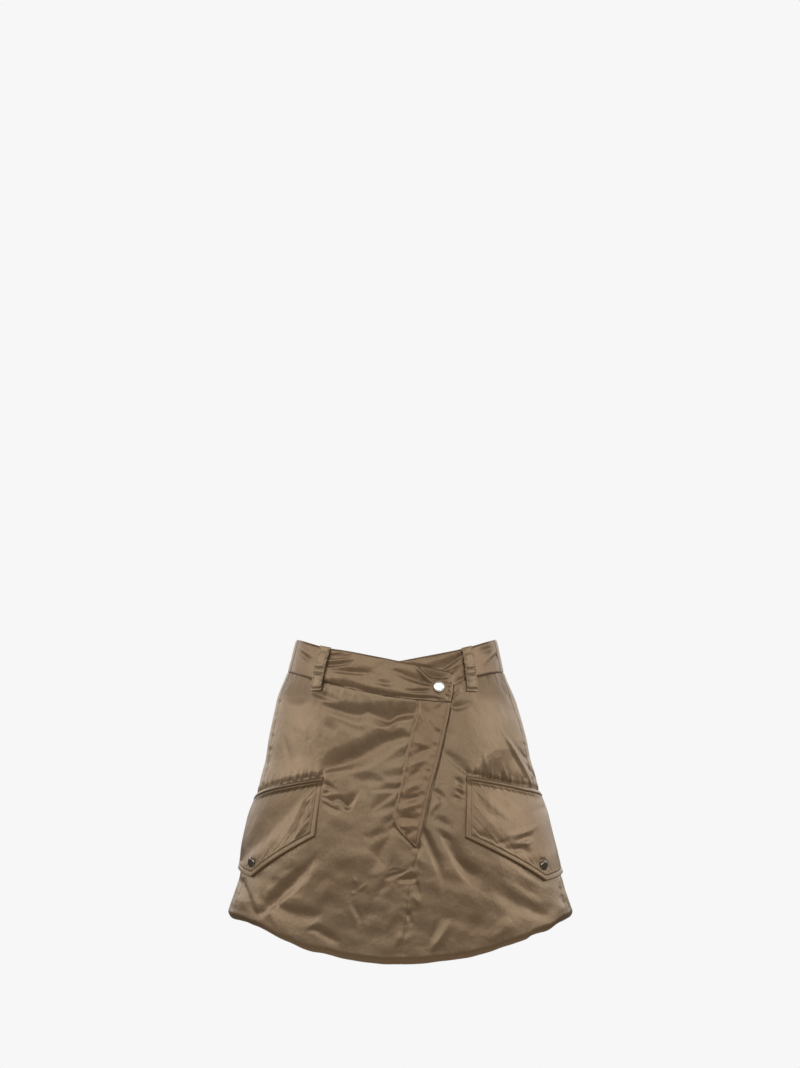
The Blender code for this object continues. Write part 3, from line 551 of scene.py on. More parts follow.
def smooth(keys, values, at):
    """Values at places on a smooth curve through a table whose keys rise or fall steadily."""
    keys, values = np.asarray(keys, float), np.asarray(values, float)
    if keys[0] > keys[-1]:
        keys, values = keys[::-1], values[::-1]
    place = np.arange(len(keys))
    before, after = np.maximum(place - 1, 0), np.minimum(place + 1, len(keys) - 1)
    slopes = (values[after] - values[before]) / (keys[after] - keys[before])
    start = np.clip(np.searchsorted(keys, at, side="right") - 1, 0, len(keys) - 2)
    span = keys[start + 1] - keys[start]
    share = np.clip((at - keys[start]) / span, 0.0, 1.0)
    square = share * share
    cube = square * share
    return ((2 * cube - 3 * square + 1) * values[start]
            + (cube - 2 * square + share) * slopes[start] * span
            + (3 * square - 2 * cube) * values[start + 1]
            + (cube - square) * slopes[start + 1] * span)


def line_x(marks, height):
    """x of a line that runs down the skirt, at a height."""
    return smooth([mark.height for mark in marks], [mark.x for mark in marks], height)


def line_height(marks, x):
    """Height of a line that crosses the skirt, at an x."""
    return smooth([mark.x for mark in marks], [mark.height for mark in marks], x)


def section_at(height):
    """The level sections at heights, on a smooth curve through the table's sections."""
    table = np.array(SECTIONS, float).T
    return Section(height, *[smooth(table[0], column, height) for column in table[1:]])


def turn_at(x, height, face=1):
    """The turn of a point at an x and a height, on the front (face 1) or the back (face -1)."""
    section = section_at(height)
    return face * np.arccos(np.clip((x - section.centre) / section.half_width, -1.0, 1.0))


def body(turn, height):
    """Points on the smooth body."""
    section = section_at(height)
    depth = np.where(np.sin(turn) > 0, section.front, section.back)
    return np.stack([section.centre + section.half_width * np.cos(turn),
                     -depth * np.sin(turn),
                     height + 0.0 * turn], axis=-1)


def arc_rate(turn, height):
    """Millimetres round the skirt for one radian of turn."""
    section = section_at(height)
    depth = np.where(np.sin(turn) > 0, section.front, section.back)
    return np.hypot(section.half_width * np.sin(turn), depth * np.cos(turn))


def degree_rate(turn, height):
    """Millimetres round the skirt for one degree of turn."""
    return arc_rate(turn, height) * math.pi / 180


GIRTH_HEIGHT = -150.0
ROUND = np.linspace(-math.pi, 2 * math.pi, 1081)
ROUND_STEPS = np.diff(body(ROUND, np.full_like(ROUND, GIRTH_HEIGHT)), axis=0)
ROUND_HIPS = np.concatenate([[0.0], np.cumsum(np.linalg.norm(ROUND_STEPS, axis=1))])


def girth(turn):
    """Millimetres round the hips to a turn."""
    return np.interp(turn, ROUND, ROUND_HIPS)


def unit(vectors):
    return vectors / np.linalg.norm(vectors, axis=-1, keepdims=True)


TURN_STEP = 0.01          # steps that the body's slope is taken over
HEIGHT_STEP = 1.0


def outward(turn, height):
    """Directions straight out of the smooth body."""
    round_it = body(turn + TURN_STEP, height) - body(turn - TURN_STEP, height)
    up_it = body(turn, height + HEIGHT_STEP) - body(turn, height - HEIGHT_STEP)
    return unit(np.cross(up_it, round_it))


def laid(turn, height, lift):
    """Points on the smooth body, moved out by a lift."""
    return body(turn, height) + outward(turn, height) * lift[..., None]


def hem_line(turn):
    """Height where the hem starts to turn under."""
    dip = np.where(np.sin(turn) > 0, HEM_DIP_FRONT, HEM_DIP_BACK)
    high = np.where(np.cos(turn) < 0, HEM_HIGH_RIGHT, HEM_HIGH_LEFT)
    drawn_up = high * np.sin(2 * turn) ** 2 * np.abs(np.cos(turn))
    x = SECTIONS[-1].half_width * np.cos(turn)
    stray = np.where(np.sin(turn) > 0, line_height(HEM_STRAYS, x),
                     np.sin(turn) ** 2 * ripple(x, BACK_HEM_WAVES))
    return HEM_HEIGHT_SIDE - dip * np.sin(turn) ** 2 + drawn_up + stray


CROSSING_ROUNDS = 8       # rounds in which a place that is found step by step settles
UPRIGHT_ROUNDS = 5
SETTLE_ROUNDS = 6


def crossing(marks, turn):
    """Height where a line that crosses the front meets a turn of the body."""
    height = np.full_like(turn, marks[0].height)
    for _ in range(CROSSING_ROUNDS):
        height = line_height(marks, body(turn, height)[..., 0])
    return height


def back_line(turn, side_height, dip):
    """A line across the back that dips towards the centre."""
    return side_height - dip * (1.0 - np.abs(np.cos(turn)) ** BACK_BOW)


def crest(distance, soft=CREST_ROUND, fall=CREST_FALL):
    """Profile of a crease: straight flanks that meet in a narrow crest and end softly."""
    away = np.sqrt(distance ** 2 + soft ** 2) - soft
    return np.maximum(1.0 - away / CREST_REACH, 0.0) ** fall


def unrolled(x, height):
    """Where an x on a face lies when the face is laid out flat."""
    section = section_at(height)
    return section.half_width * np.arcsin(np.clip((x - section.centre) / section.half_width, -1, 1))


def hem_kick(turn):
    """How far out the hem line stands: fully at the sides, hardly at the centre."""
    side_share = np.cos(turn) ** HEM_KICK_POWER
    return HEM_KICK * (HEM_KICK_CENTRE + (1.0 - HEM_KICK_CENTRE) * side_share)


def hem_push(turn, height):
    """How far the padding pushes the cloth out near the hem line."""
    return hem_kick(turn) * np.exp(-np.maximum(height - hem_line(turn), 0.0) / HEM_KICK_REACH)


def fly_lift(turn, height, side):
    """The lapped front edge stands out (side 1), the front under it sinks (-1), the back stays (0)."""
    distance = np.abs(body(turn, height)[..., 0] - line_x(FLY_EDGE, height))
    fade = ramp((height - FLY_STEP_END) / FLY_STEP_FADE) * (np.sin(turn) > 0)
    return side * FLY_STEP * fade * (1.0 - ramp(distance / FLY_STEP_WIDTH))


def hem_roll(turn, run, out_by, depth):
    """Points on the turned-under hem: a run of cloth past the hem line, lifted by its relief."""
    height = hem_line(turn)
    out = outward(turn, height)
    edge = body(turn, height) + out * hem_kick(turn)[..., None]
    out = unit(out * (1.0, 1.0, 0.0))
    down = np.array((0.0, 0.0, -1.0))
    flare = (HEM_FLARE + HEM_FLARE_SIDE * np.cos(turn) ** 2)[..., None]
    centre = edge - (out * np.cos(flare) - down * np.sin(flare)) * HEM_RADIUS
    run = run[..., None]
    angle = np.minimum(run / HEM_RADIUS - flare, HEM_TURN)
    rise = np.maximum(run - HEM_RADIUS * (HEM_TURN + flare), 0.0)
    around = out * np.cos(angle) + down * np.sin(angle)
    onward = down * np.cos(angle) - out * np.sin(angle)
    return centre + around * (HEM_RADIUS + out_by - depth)[..., None] + onward * rise


# ---------------------------------------------------------------- relief of the cloth
def on_line(start, end, across, height):
    """How far places lie along a line on the unrolled cloth and to its left, and its length."""
    run_x, run_z = end[0] - start[0], end[1] - start[1]
    length = math.hypot(run_x, run_z)
    along = ((across - start[0]) * run_x + (height - start[1]) * run_z) / length
    aside = ((height - start[1]) * run_x - (across - start[0]) * run_z) / length
    return along, aside, length


def break_relief(breaks, turn, height, face=1):
    """How far a table's main folds move the cloth out, on the front (face 1) or the back (-1)."""
    across = section_at(height).half_width * np.arcsin(np.cos(turn))
    total = np.zeros_like(turn)
    for fold in breaks:
        x, z, left, right, lift = np.array(fold.knots, float).T
        x = unrolled(x, z)
        first, last = (x[0], z[0]), (x[-1], z[-1])
        keys, bends, length = on_line(first, last, x, z)
        along, aside, _ = on_line(first, last, across, height)
        aside = aside - smooth(keys, bends, along)
        reach = np.where(aside > 0, smooth(keys, left, along), smooth(keys, right, along))
        ends = ramp((along + END_FADE) / END_FADE) * ramp((length + END_FADE - along) / END_FADE)
        line = crest(CREST_REACH * aside / reach, CREST_REACH * fold.soft, BREAK_FALL)
        swell = min(SWELL * fold.soft, 1.0)
        profile = line + (near(np.abs(aside), reach) - line) * swell
        total += smooth(keys, lift, along) * ends * profile
    return total * ramp(np.sin(turn) * face / FACE_FADE)


def crease_relief(creases, turn, height, face=1):
    """How far a table's creases move the cloth out, on the front (face 1) or the back (-1)."""
    across = section_at(height).half_width * np.arcsin(np.cos(turn))
    total = np.zeros_like(turn)
    for crease in creases:
        ends_z = np.array((crease.z0, crease.z1))
        ends_x = unrolled(np.array((crease.x0, crease.x1)), ends_z)
        along, aside, length = on_line(*zip(ends_x, ends_z), across, height)
        share = np.clip(along / length, 0.0, 1.0)
        aside = aside - 4.0 * crease.bend * share * (1.0 - share)
        distance = np.hypot(aside, along - share * length) / crease.width
        strength = CREASE_ENDS + (1.0 - CREASE_ENDS) * np.sin(np.pi * share ** crease.lean)
        total += crease.height * strength * crest(distance)
    return total * (np.sin(turn) * face > 0)


def ripple(along, wave):
    """Uneven waves, up to their height out and in."""
    phase = 2 * np.pi * along / wave.spacing
    total = sum(height * np.sin(rate * phase + share * wave.seed)
                for height, rate, share in WAVE_PARTS)
    return wave.height * total / sum(height for height, _, _ in WAVE_PARTS)


def gathers(along, distance, wave):
    """Uneven waves along a seam, dying out away from it."""
    return near(distance, wave.reach) * ripple(along, wave)


def seeded(wave, first):
    """Waves with the first of their two seeds at some places and the second at the others."""
    return wave._replace(seed=np.where(first, *wave.seed))


def seam_dip(distance, deep=SEAM_DIP[0], reach=SEAM_DIP[1]):
    """The cloth sinks towards a seam."""
    return -deep * np.exp(-(distance / reach) ** 2)


FAR_OUTSIDE = -1e3

FLAP_PRESS = 7.0          # the cloth lies flatter this close round a flap
FLAP_TOP_PRESS = 3.0      # and this many times closer along its sewn top
FLAP_SINK = 1.6           # how deep a flap's sewn top sits in the padding
FLAP_SINK_ABOVE = 9.0     # and how far above and below the top that reaches
FLAP_SINK_BELOW = 22.0
FLAP_GATHER_START = 1.5   # the gathers over a flap rise this close to its top
UNDER_FLAP = 6.5          # how far the cloth under a flap gives way to the flap's hollows
UNDER_FLAP_START = 3.0    # this far in from the flap's edge
UNDER_FLAP_FADE = 12.0
PLACKET_PRESS = 2.5       # the cloth lies flatter this close round the placket
PLACKET_DITCH = 1.1       # how deep it sinks right beside the placket
PLACKET_DITCH_REACH = 4.0
WAIST_PRESS = 4.0         # folds die out this close under the waist seam
HEM_PRESS = 14.0          # and thin out this close over the hem
MID_PUCKER_TOP = PLACKET_END + 30.0    # puckers beside the centre seam start here at the front
MID_PUCKER_FADE = 20.0
MID_PUCKER_BACK = 0.7     # the share of them at the back
MID_PUCKER_SLANT = 0.5    # how far they slant, one way and the other
MID_PUCKER_TURNS = 23.0

# Wave lengths of the padding's swells and the directions in which they run.
CLOUD_WAVES = ((62.0, 0.3), (47.0, 1.4), (38.0, 2.3), (31.0, 0.9), (26.0, 2.8), (22.0, 1.9))
CLOUD_SEED = 1.9
CLOUD_FULL = 2.6          # the sum of the waves that counts as a whole swell
CLOUD_HEIGHT = 0.36
CLOUD_TOP = -225.0        # above this they are faint
CLOUD_FADE = 60.0
CLOUD_FAINT = 0.25        # the share that is left of them there


def flap_degrees(turn):
    """Degrees in front of the nearer side."""
    return np.degrees(np.arcsin(np.clip(np.sin(turn), -1.0, 1.0)))


def flap_lines(edges, degrees):
    """Heights of a flap's top and bottom lines, straight from point to point."""
    keys = [corner.degrees for corner in edges[::-1]]
    tops = [corner.top for corner in edges[::-1]]
    bottoms = [corner.bottom for corner in edges[::-1]]
    return np.interp(degrees, keys, tops), np.interp(degrees, keys, bottoms)


def flap_share(edges, degrees):
    """1 at a flap's front edge, falling to 0 at its point."""
    front, point, _ = edges
    return np.clip((degrees - point.degrees) / (front.degrees - point.degrees), 0.0, 1.0)


def upright(edges, degrees, height):
    """Degrees on a flap as if its front edge didn't slant."""
    place = degrees
    for _ in range(UPRIGHT_ROUNDS):
        top, bottom = flap_lines(edges, place)
        w = np.clip((height - top) / (bottom - top), 0.0, 1.0)
        place = degrees - edges[0].slant * w * flap_share(edges, place)
    return place


def inside_flap(turn, height):
    """How far a place lies inside the nearer flap, and how far above its top, in millimetres."""
    rate = degree_rate(turn, height)
    inside, above = np.full_like(turn, FAR_OUTSIDE), np.full_like(turn, FAR_OUTSIDE)
    for side, edges in FLAPS.items():
        here = (np.cos(turn) > 0) == (side == "left")
        degrees = upright(edges, flap_degrees(turn), height)
        top, bottom = flap_lines(edges, degrees)
        ends = np.minimum(edges[0].degrees - degrees, degrees - edges[2].degrees) * rate
        over = (top - height) * FLAP_TOP_PRESS
        inside = np.where(here, np.minimum.reduce([ends, over, height - bottom]), inside)
        above = np.where(here & (ends > 0), height - top, above)
    return inside, above


def inside_placket(turn, height):
    """How far a place lies inside the placket, in millimetres."""
    x = body(turn, height)[..., 0]
    inside = np.minimum(x - line_x(PLACKET_INNER, height), line_x(FLY_EDGE, height) - x)
    inside = np.minimum(inside, height - PLACKET_END)
    return np.where(np.sin(turn) > 0, inside, FAR_OUTSIDE)


def clouds(across, height):
    """Soft uneven swells of the padding."""
    total = 0.0
    for number, (length, slant) in enumerate(CLOUD_WAVES):
        phase = 2 * np.pi * (across * math.cos(slant) + height * math.sin(slant)) / length
        total = total + np.sin(phase + CLOUD_SEED * number)
    share = CLOUD_FAINT + (1.0 - CLOUD_FAINT) * ramp((CLOUD_TOP - height) / CLOUD_FADE)
    return CLOUD_HEIGHT * total / CLOUD_FULL * share


def flap_sink(above):
    """How far the cloth sinks beside and under a flap's sewn top line."""
    return -FLAP_SINK * np.where(above > 0, near(above, FLAP_SINK_ABOVE),
                                 near(-above, FLAP_SINK_BELOW))


def panel_relief(turn, height, seam, side_distance, mid_distance):
    """The folds, creases, puckers and gathers of a panel."""
    on_front = np.sin(turn) > 0
    inside, above = inside_flap(turn, height)
    under = inside_placket(turn, height)
    across = girth(turn)
    seam_distance = seam - height
    relief = (crease_relief(FRONT_CREASES, turn, height, 1)
              + crease_relief(BACK_CREASES, turn, height, -1)
              + break_relief(FRONT_BREAKS, turn, height, 1)
              + break_relief(BACK_BREAKS, turn, height, -1)
              + clouds(across, height))
    relief *= ramp(-inside / FLAP_PRESS) * ramp(-under / PLACKET_PRESS)
    relief *= ramp(seam_distance / WAIST_PRESS)
    relief *= HEM_KEEP + (1.0 - HEM_KEEP) * ramp((height - hem_line(turn)) / HEM_PRESS)
    relief += (gathers(across, np.maximum(above, 0.0), FLAP_GATHERS)
               * ramp(above / FLAP_GATHER_START))
    relief += flap_sink(above)
    relief += gathers(across, seam_distance, WAIST_GATHERS)
    relief += gathers(height, side_distance, seeded(SIDE_PUCKERS, np.cos(turn) > 0))
    share = np.where(on_front, ramp((MID_PUCKER_TOP - height) / MID_PUCKER_FADE), MID_PUCKER_BACK)
    slant = MID_PUCKER_SLANT * mid_distance * np.sin(height / MID_PUCKER_TURNS)
    relief += share * gathers(height + slant, mid_distance, seeded(MID_PUCKERS, on_front))
    relief += seam_dip(seam_distance, *WAIST_DIP) + seam_dip(side_distance)
    lapped = on_front & (height > PLACKET_END)
    relief += seam_dip(mid_distance, np.where(lapped, FLY_DIP, BACK_DIP), MID_DIP_REACH)
    relief -= UNDER_FLAP * ramp((inside - UNDER_FLAP_START) / UNDER_FLAP_FADE)
    return relief - PLACKET_DITCH * near(np.abs(under), PLACKET_DITCH_REACH) * (under < 0)


# ---------------------------------------------------------------- materials
class Signal:
    """A shader socket that adds Math nodes when it is used in an expression."""

    def __init__(self, shader, socket):
        self.shader = shader
        self.socket = socket

    def maths(self, operation, *values):
        inputs = dict(enumerate(values))
        return self.shader.node("Math", {"operation": operation}, inputs)

    def __add__(self, other):
        return self.maths("ADD", self, other)

    def __sub__(self, other):
        return self.maths("SUBTRACT", self, other)

    def __rsub__(self, other):
        return self.maths("SUBTRACT", other, self)

    def __mul__(self, other):
        return self.maths("MULTIPLY", self, other)

    def __neg__(self):
        return self * -1.0

    def clamp(self):
        return self.shader.node("Clamp", {}, {"Value": self}, "Result")


class Shader:
    """A Principled material and one method that adds any node to it."""

    def __init__(self, name, **surface):
        self.material = bpy.data.materials.new(name)
        self.material.use_nodes = True
        self.tree = self.material.node_tree
        self.surface = self.tree.nodes["Principled BSDF"]
        for socket, value in surface.items():
            self.feed(self.surface.inputs[socket.replace("_", " ")], value)

    def feed(self, socket, value):
        if isinstance(value, Signal):
            self.tree.links.new(value.socket, socket)
        else:
            socket.default_value = value

    def node(self, kind, settings, inputs, output=0):
        node = self.tree.nodes.new("ShaderNode" + kind)
        for setting, value in settings.items():
            setattr(node, setting, value)
        for socket, value in inputs.items():
            self.feed(node.inputs[socket], value)
        return Signal(self, node.outputs[output])

    def mix(self, share, first, second):
        """A colour between two colours."""
        return self.node("Mix", {"data_type": "RGBA"}, {0: share, 6: first, 7: second}, 2)

    def noise(self, place, scale, detail=2.0):
        return self.node("TexNoise", {}, {"Vector": place, "Scale": scale, "Detail": detail}, "Fac")

    def stretched(self, place, scale):
        return self.node("Mapping", {}, {"Vector": place, "Scale": scale})

    def bump(self, height, distance, strength=1.0):
        inputs = {"Height": height, "Distance": distance, "Strength": strength}
        self.feed(self.surface.inputs["Normal"], self.node("Bump", {}, inputs, "Normal"))


OLIVE_BRONZE = (0.292, 0.222, 0.138, 1.0)
WARM_BRONZE = (0.300, 0.208, 0.124, 1.0)
# Russet is the grain's darker tone and also the painted shade in hollows; deep bronze is painted shade
# in deep hollows and in the other painted shade marks; pale gold is a painted highlight on crests.
RUSSET_GRAIN_AND_SHADE = (0.190, 0.108, 0.058, 1.0)
DEEP_SHADE_BRONZE = (0.150, 0.104, 0.054, 1.0)
HIGHLIGHT_GOLD = (0.380, 0.285, 0.178, 1.0)
RELIEF_FULL = 4.5         # millimetres of relief that take the full painted shade, in hollows, and the full painted highlight, on crests
HOLLOW_SHADE_SHARE = 0.20       # how much painted shade the hollows and deep hollows take, and how much painted highlight the crests
DEEP_SHADE_SHARE = 0.85
CREST_HIGHLIGHT_SHARE = 0.35
CAST_CONTRAST = 1.6       # how sharply patches of the two bronzes part, and where
CAST_LEVEL = 0.3
GRAIN_CONTRAST = 0.5
GRAIN_LEVEL = 0.25
ROUGHNESS = 0.34
ROUGHNESS_SPREAD = 0.08
SATIN_BUMP = 0.0016

# Noise in the weave: its scale across and along the flat cloth in metres, detail and height.
Weave = namedtuple("Weave", "scale detail height", defaults=[1.0])
SLUBS = Weave((900.0, 90.0, 1.0), 2.0)
CRUMPLE = Weave((60.0, 40.0, 1.0), 3.0, 1.1)
FINE_CRUMPLE = Weave((190.0, 150.0, 1.0), 2.0, 0.22)
FLOATS = Weave((2600.0, 420.0, 1.0), 1.0, 0.035)


def satin(name, warmth=0.0, shade=0.0):
    """Padded satin: bronze, with russet painted shade in its hollows and a paler painted highlight on
    its crests.
    """
    shader = Shader(name, Metallic=0.50, IOR=1.45, Sheen_Weight=0.12, Sheen_Roughness=0.45,
                    Sheen_Tint=(0.80, 0.68, 0.52, 1.0))
    place = shader.node("TexCoord", {}, {}, "Object")
    threads = shader.node("UVMap", {"uv_map": "weave"}, {})

    def woven(weave):
        noise = shader.noise(shader.stretched(threads, weave.scale), 1.0, weave.detail)
        return noise * weave.height

    # The relief attribute holds painted light: each piece's relief, scaled, with its painted shade
    # marks taken off.
    relief = shader.node("Attribute", {"attribute_name": "relief"}, {}, "Fac") * (1 / RELIEF_FULL)
    cast = shader.noise(place, 16.0, 3.0) * CAST_CONTRAST - CAST_LEVEL + warmth
    colour = shader.mix(cast.clamp(), OLIVE_BRONZE, WARM_BRONZE)
    # painted shade: russet in the hollows, deep bronze in the deep hollows and the painted shade
    # marks; painted highlight: pale gold on the crests
    colour = shader.mix((-relief).clamp() * HOLLOW_SHADE_SHARE, colour, RUSSET_GRAIN_AND_SHADE)
    colour = shader.mix((-1.0 - relief).clamp() * DEEP_SHADE_SHARE, colour, DEEP_SHADE_BRONZE)
    colour = shader.mix(relief.clamp() * CREST_HIGHLIGHT_SHARE, colour, HIGHLIGHT_GOLD)
    # random grain of the weave towards russet; for the darker copies the shade argument adds painted
    # shade
    grain = (shader.noise(place, 900.0) + woven(SLUBS)) * GRAIN_CONTRAST - GRAIN_LEVEL + shade
    shader.feed(shader.surface.inputs["Base Color"], shader.mix(grain.clamp(), colour, RUSSET_GRAIN_AND_SHADE))
    mottle = shader.noise(place, 70.0) * ROUGHNESS_SPREAD + ROUGHNESS
    shader.feed(shader.surface.inputs["Roughness"], mottle)
    shader.bump(woven(CRUMPLE) + woven(FINE_CRUMPLE) + woven(FLOATS), SATIN_BUMP, 0.60)
    return shader.material


def thread_material(name, colour):
    shader = Shader(name, Base_Color=colour, Roughness=0.5, Sheen_Weight=0.2)
    place = shader.node("TexCoord", {}, {}, "Object")
    shader.bump(shader.noise(place, 4000.0, 1.0), 0.0002, 0.5)
    return shader.material


def snap_material(name, colour):
    """Polished metal with faint rubbing."""
    shader = Shader(name, Base_Color=colour, Metallic=1.0)
    place = shader.node("TexCoord", {}, {}, "Object")
    rubs = shader.noise(shader.stretched(place, (500.0, 500.0, 120.0)), 1.0, 2.0)
    shader.feed(shader.surface.inputs["Roughness"], rubs * 0.10 + 0.06)
    return shader.material


SATIN = satin("satin")
SATIN_FLAP = satin("satin_flap", 0.25)
# The band and the placket are darker copies of the same satin: painted shade for how their cloth
# catches the light.
SATIN_BAND_SHADED = satin("satin_band_shaded", 0.15, 0.10)
SATIN_PLACKET_SHADED = satin("satin_placket_shaded", 0.35, 0.20)
THREAD = thread_material("thread", (0.230, 0.165, 0.100, 1.0))
TACK_THREAD = thread_material("tack_thread", (0.150, 0.085, 0.052, 1.0))
NICKEL = snap_material("polished_nickel", (0.80, 0.79, 0.77, 1.0))
# The flap studs are the same nickel made darker: painted shade for how they catch the light.
SHADED_NICKEL = snap_material("shaded_nickel", (0.34, 0.32, 0.28, 1.0))


# ---------------------------------------------------------------- making pieces
def deselect():
    bpy.ops.object.select_all(action="DESELECT")


def keep(piece, name, node, material):
    """Names a finished piece, rides it on the skirt and lets it stand for its node."""
    piece.name = name
    piece.data.name = name
    piece.data.materials.clear()
    piece.data.materials.append(material)
    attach(piece, "root")
    if node:
        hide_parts(node)
    return piece


CLOTH_SMOOTH = math.radians(55)    # sharper edges than this stay sharp


def lay_cloth(node, columns, rows, place, wall, material=SATIN):
    """A closed thin wall laid on the form.

    place(u, w, depth) has u across and w down, 0 to 1, and a depth into the wall. It gives the
    points, the painted shade and painted highlight for their colour, and their places in the flat
    cloth for the weave.
    """
    deselect()
    bpy.ops.mesh.primitive_grid_add(x_subdivisions=columns, y_subdivisions=rows, size=2.0)
    piece = bpy.context.object
    mesh = piece.data
    grid = np.empty(len(mesh.vertices) * 3)
    mesh.vertices.foreach_get("co", grid)
    u, w = (grid[0::3] + 1.0) / 2.0, (1.0 - grid[1::3]) / 2.0
    solid = piece.modifiers.new("wall", "SOLIDIFY")
    solid.offset = -1.0
    bpy.ops.object.modifier_apply(modifier=solid.name)
    outer, inner = place(u, w, 0.0 * u), place(u, w, 0.0 * u + wall)
    points, relief, flat = (np.concatenate(pair) for pair in zip(outer, inner))
    mesh.vertices.foreach_set("co", (points * MM).astype(np.float32).ravel())
    # The relief attribute holds the painted shade and painted highlight for the satin's colour.
    painted_light = mesh.attributes.new("relief", "FLOAT", "POINT")
    painted_light.data.foreach_set("value", relief.astype(np.float32))
    corners = np.empty(len(mesh.loops), int)
    mesh.loops.foreach_get("vertex_index", corners)
    weave = mesh.uv_layers.active
    weave.name = "weave"
    weave.data.foreach_set("uv", (flat[corners] * MM).astype(np.float32).ravel())
    mesh.update()
    bpy.ops.object.shade_smooth_by_angle(angle=CLOTH_SMOOTH)
    return keep(piece, node + "_satin", node, material)


def half_gap(turn, height):
    """Half a seam gap, as a turn."""
    return SEAM_GAP / 2 / arc_rate(turn + 0.0 * height, height)


def side_turn(side, height, towards_front):
    """The turn of a side seam, half a seam gap off it to the front or to the back."""
    seam = SIDE_SEAM if side == "left" else math.pi - SIDE_SEAM
    forward = 1 if (side == "left") == towards_front else -1
    return seam + forward * half_gap(seam, height)


def fly_turn(height, side):
    """The turn of the fly's edge, half a gap to its right (side 1) or left (side -1)."""
    return turn_at(line_x(FLY_EDGE, height) - side * SEAM_GAP / 2, height)


def right_edges(height):
    """Turns of the right front's side seam and fly."""
    return side_turn("right", height, True), fly_turn(height, 1)


def left_edges(height):
    """Turns of the left front's fly and side seam."""
    return fly_turn(height, -1), side_turn("left", height, True)


def back_right_edges(height):
    """Turns of the centre back and the right side seam."""
    return 3 * QUARTER - half_gap(3 * QUARTER, height), side_turn("right", height, False)


def back_left_edges(height):
    """Turns of the left side seam and the centre back."""
    return side_turn("left", height, False), -QUARTER + half_gap(-QUARTER, height)


def waist_line(marks, turn):
    """Height of the waist seam: through its marks at the front, or round the back without any."""
    return crossing(marks, turn) if marks else back_line(turn, BAND_SEAM, BACK_DIP_SEAM)


def between(edges, lines, u, w):
    """Places that lie u across, between two edges, and w down, between two lines.

    edges(height) gives the edges' turns and lines(turn) the lines' heights. The result has the
    places' turns and heights, how wide the piece is there, and the heights of the lines.
    """
    height = np.zeros_like(u)
    for _ in range(SETTLE_ROUNDS):
        first, second = edges(height)
        turn = first + (second - first) * u
        top, bottom = lines(turn)
        height = top + (bottom - top) * w
    return turn, height, np.abs(second - first) * arc_rate(turn, height), top, bottom


def flat_place(turn, height):
    """Where places of the form lie in the flat cloth."""
    return np.stack([girth(turn), height], axis=-1)


PANEL_ROWS = 190
HEM_ROWS = 24
HEM_PUCKER_START = 6.0    # the hem's puckers rise over this much of its roll
HEM_RELIEF_END = 0.8 * HEM_RUN    # and the folds that run on round it die out here
HIP_PAINTED_SHADE = 14.0           # painted shade: how much darker the hips are close under the band
HIP_PAINTED_SHADE_REACH = 52.0
CORNER_PAINTED_SHADE = 16.0        # and painted shade on the hem at the sides
CORNER_PAINTED_SHADE_REACH = 16.0
CORNER_PAINTED_SHADE_POWER = 6
SIDE_SHADE_START = 78.0    # painted shade for the sides starts this far from the middle
SIDE_SHADE_FADE = 30.0


def side_share(x):
    """Share of painted shade: 0 in the middle of the front and 1 at the sides."""
    return ramp((np.abs(x) - SIDE_SHADE_START) / SIDE_SHADE_FADE)


def panel_painted_shade(x, turn, seam_distance, hem_distance):
    """Painted shade: how much darker a panel is at the hips and at the hem's corners."""
    hips = HIP_PAINTED_SHADE * near(seam_distance, HIP_PAINTED_SHADE_REACH) * side_share(x)
    corners = near(hem_distance, CORNER_PAINTED_SHADE_REACH) * np.cos(turn) ** CORNER_PAINTED_SHADE_POWER
    return hips + CORNER_PAINTED_SHADE * corners


def panel(node, columns, edges, marks, lap, side_first):
    """A front or back panel. edges(height) gives its two turns at a height, the side seam's first
    if side_first; marks are those of its waist seam, and lap is its side of the fly."""
    def lines(turn):
        return waist_line(marks, turn) - WAIST_GAP / 2, hem_line(turn)

    def place(u, w, depth):
        row = w * (PANEL_ROWS + HEM_ROWS)
        run = HEM_RUN * np.maximum(row - PANEL_ROWS, 0.0) / HEM_ROWS
        share = np.minimum(row / PANEL_ROWS, 1.0)
        turn, height, width, top, hem = between(edges, lines, u, share)
        distances = u * width, (1.0 - u) * width
        relief = panel_relief(turn, height, top, *(distances if side_first else distances[::-1]))
        lift = fly_lift(turn, height, lap) + relief + hem_push(turn, height) - depth
        above = laid(turn, height, lift)
        # the relief at the hem line runs on round the roll and dies out inside
        puckers = ramp(run / HEM_PUCKER_START) * ripple(girth(turn), HEM_PUCKERS)
        below = hem_roll(turn, run, (puckers + relief) * near(run, HEM_RELIEF_END), depth)
        points = np.where((run > 0)[:, None], below, above)
        # painted shade in hollows and painted highlight on crests, less painted shade at the hips and
        # the hem's corners
        painted_light = relief - panel_painted_shade(above[:, 0], turn, top - height, height - hem)
        return points, painted_light, flat_place(turn, height - run)

    lay_cloth(node, columns, PANEL_ROWS + HEM_ROWS, place, PANEL_WALL)


def build_panels():
    panel("front_right", 190, right_edges, TAB_SEAM, 1, True)
    panel("front_left", 160, left_edges, UNDER_SEAM, -1, False)
    panel("back_right", 120, back_right_edges, None, 0, False)
    panel("back_left", 120, back_left_edges, None, 0, True)


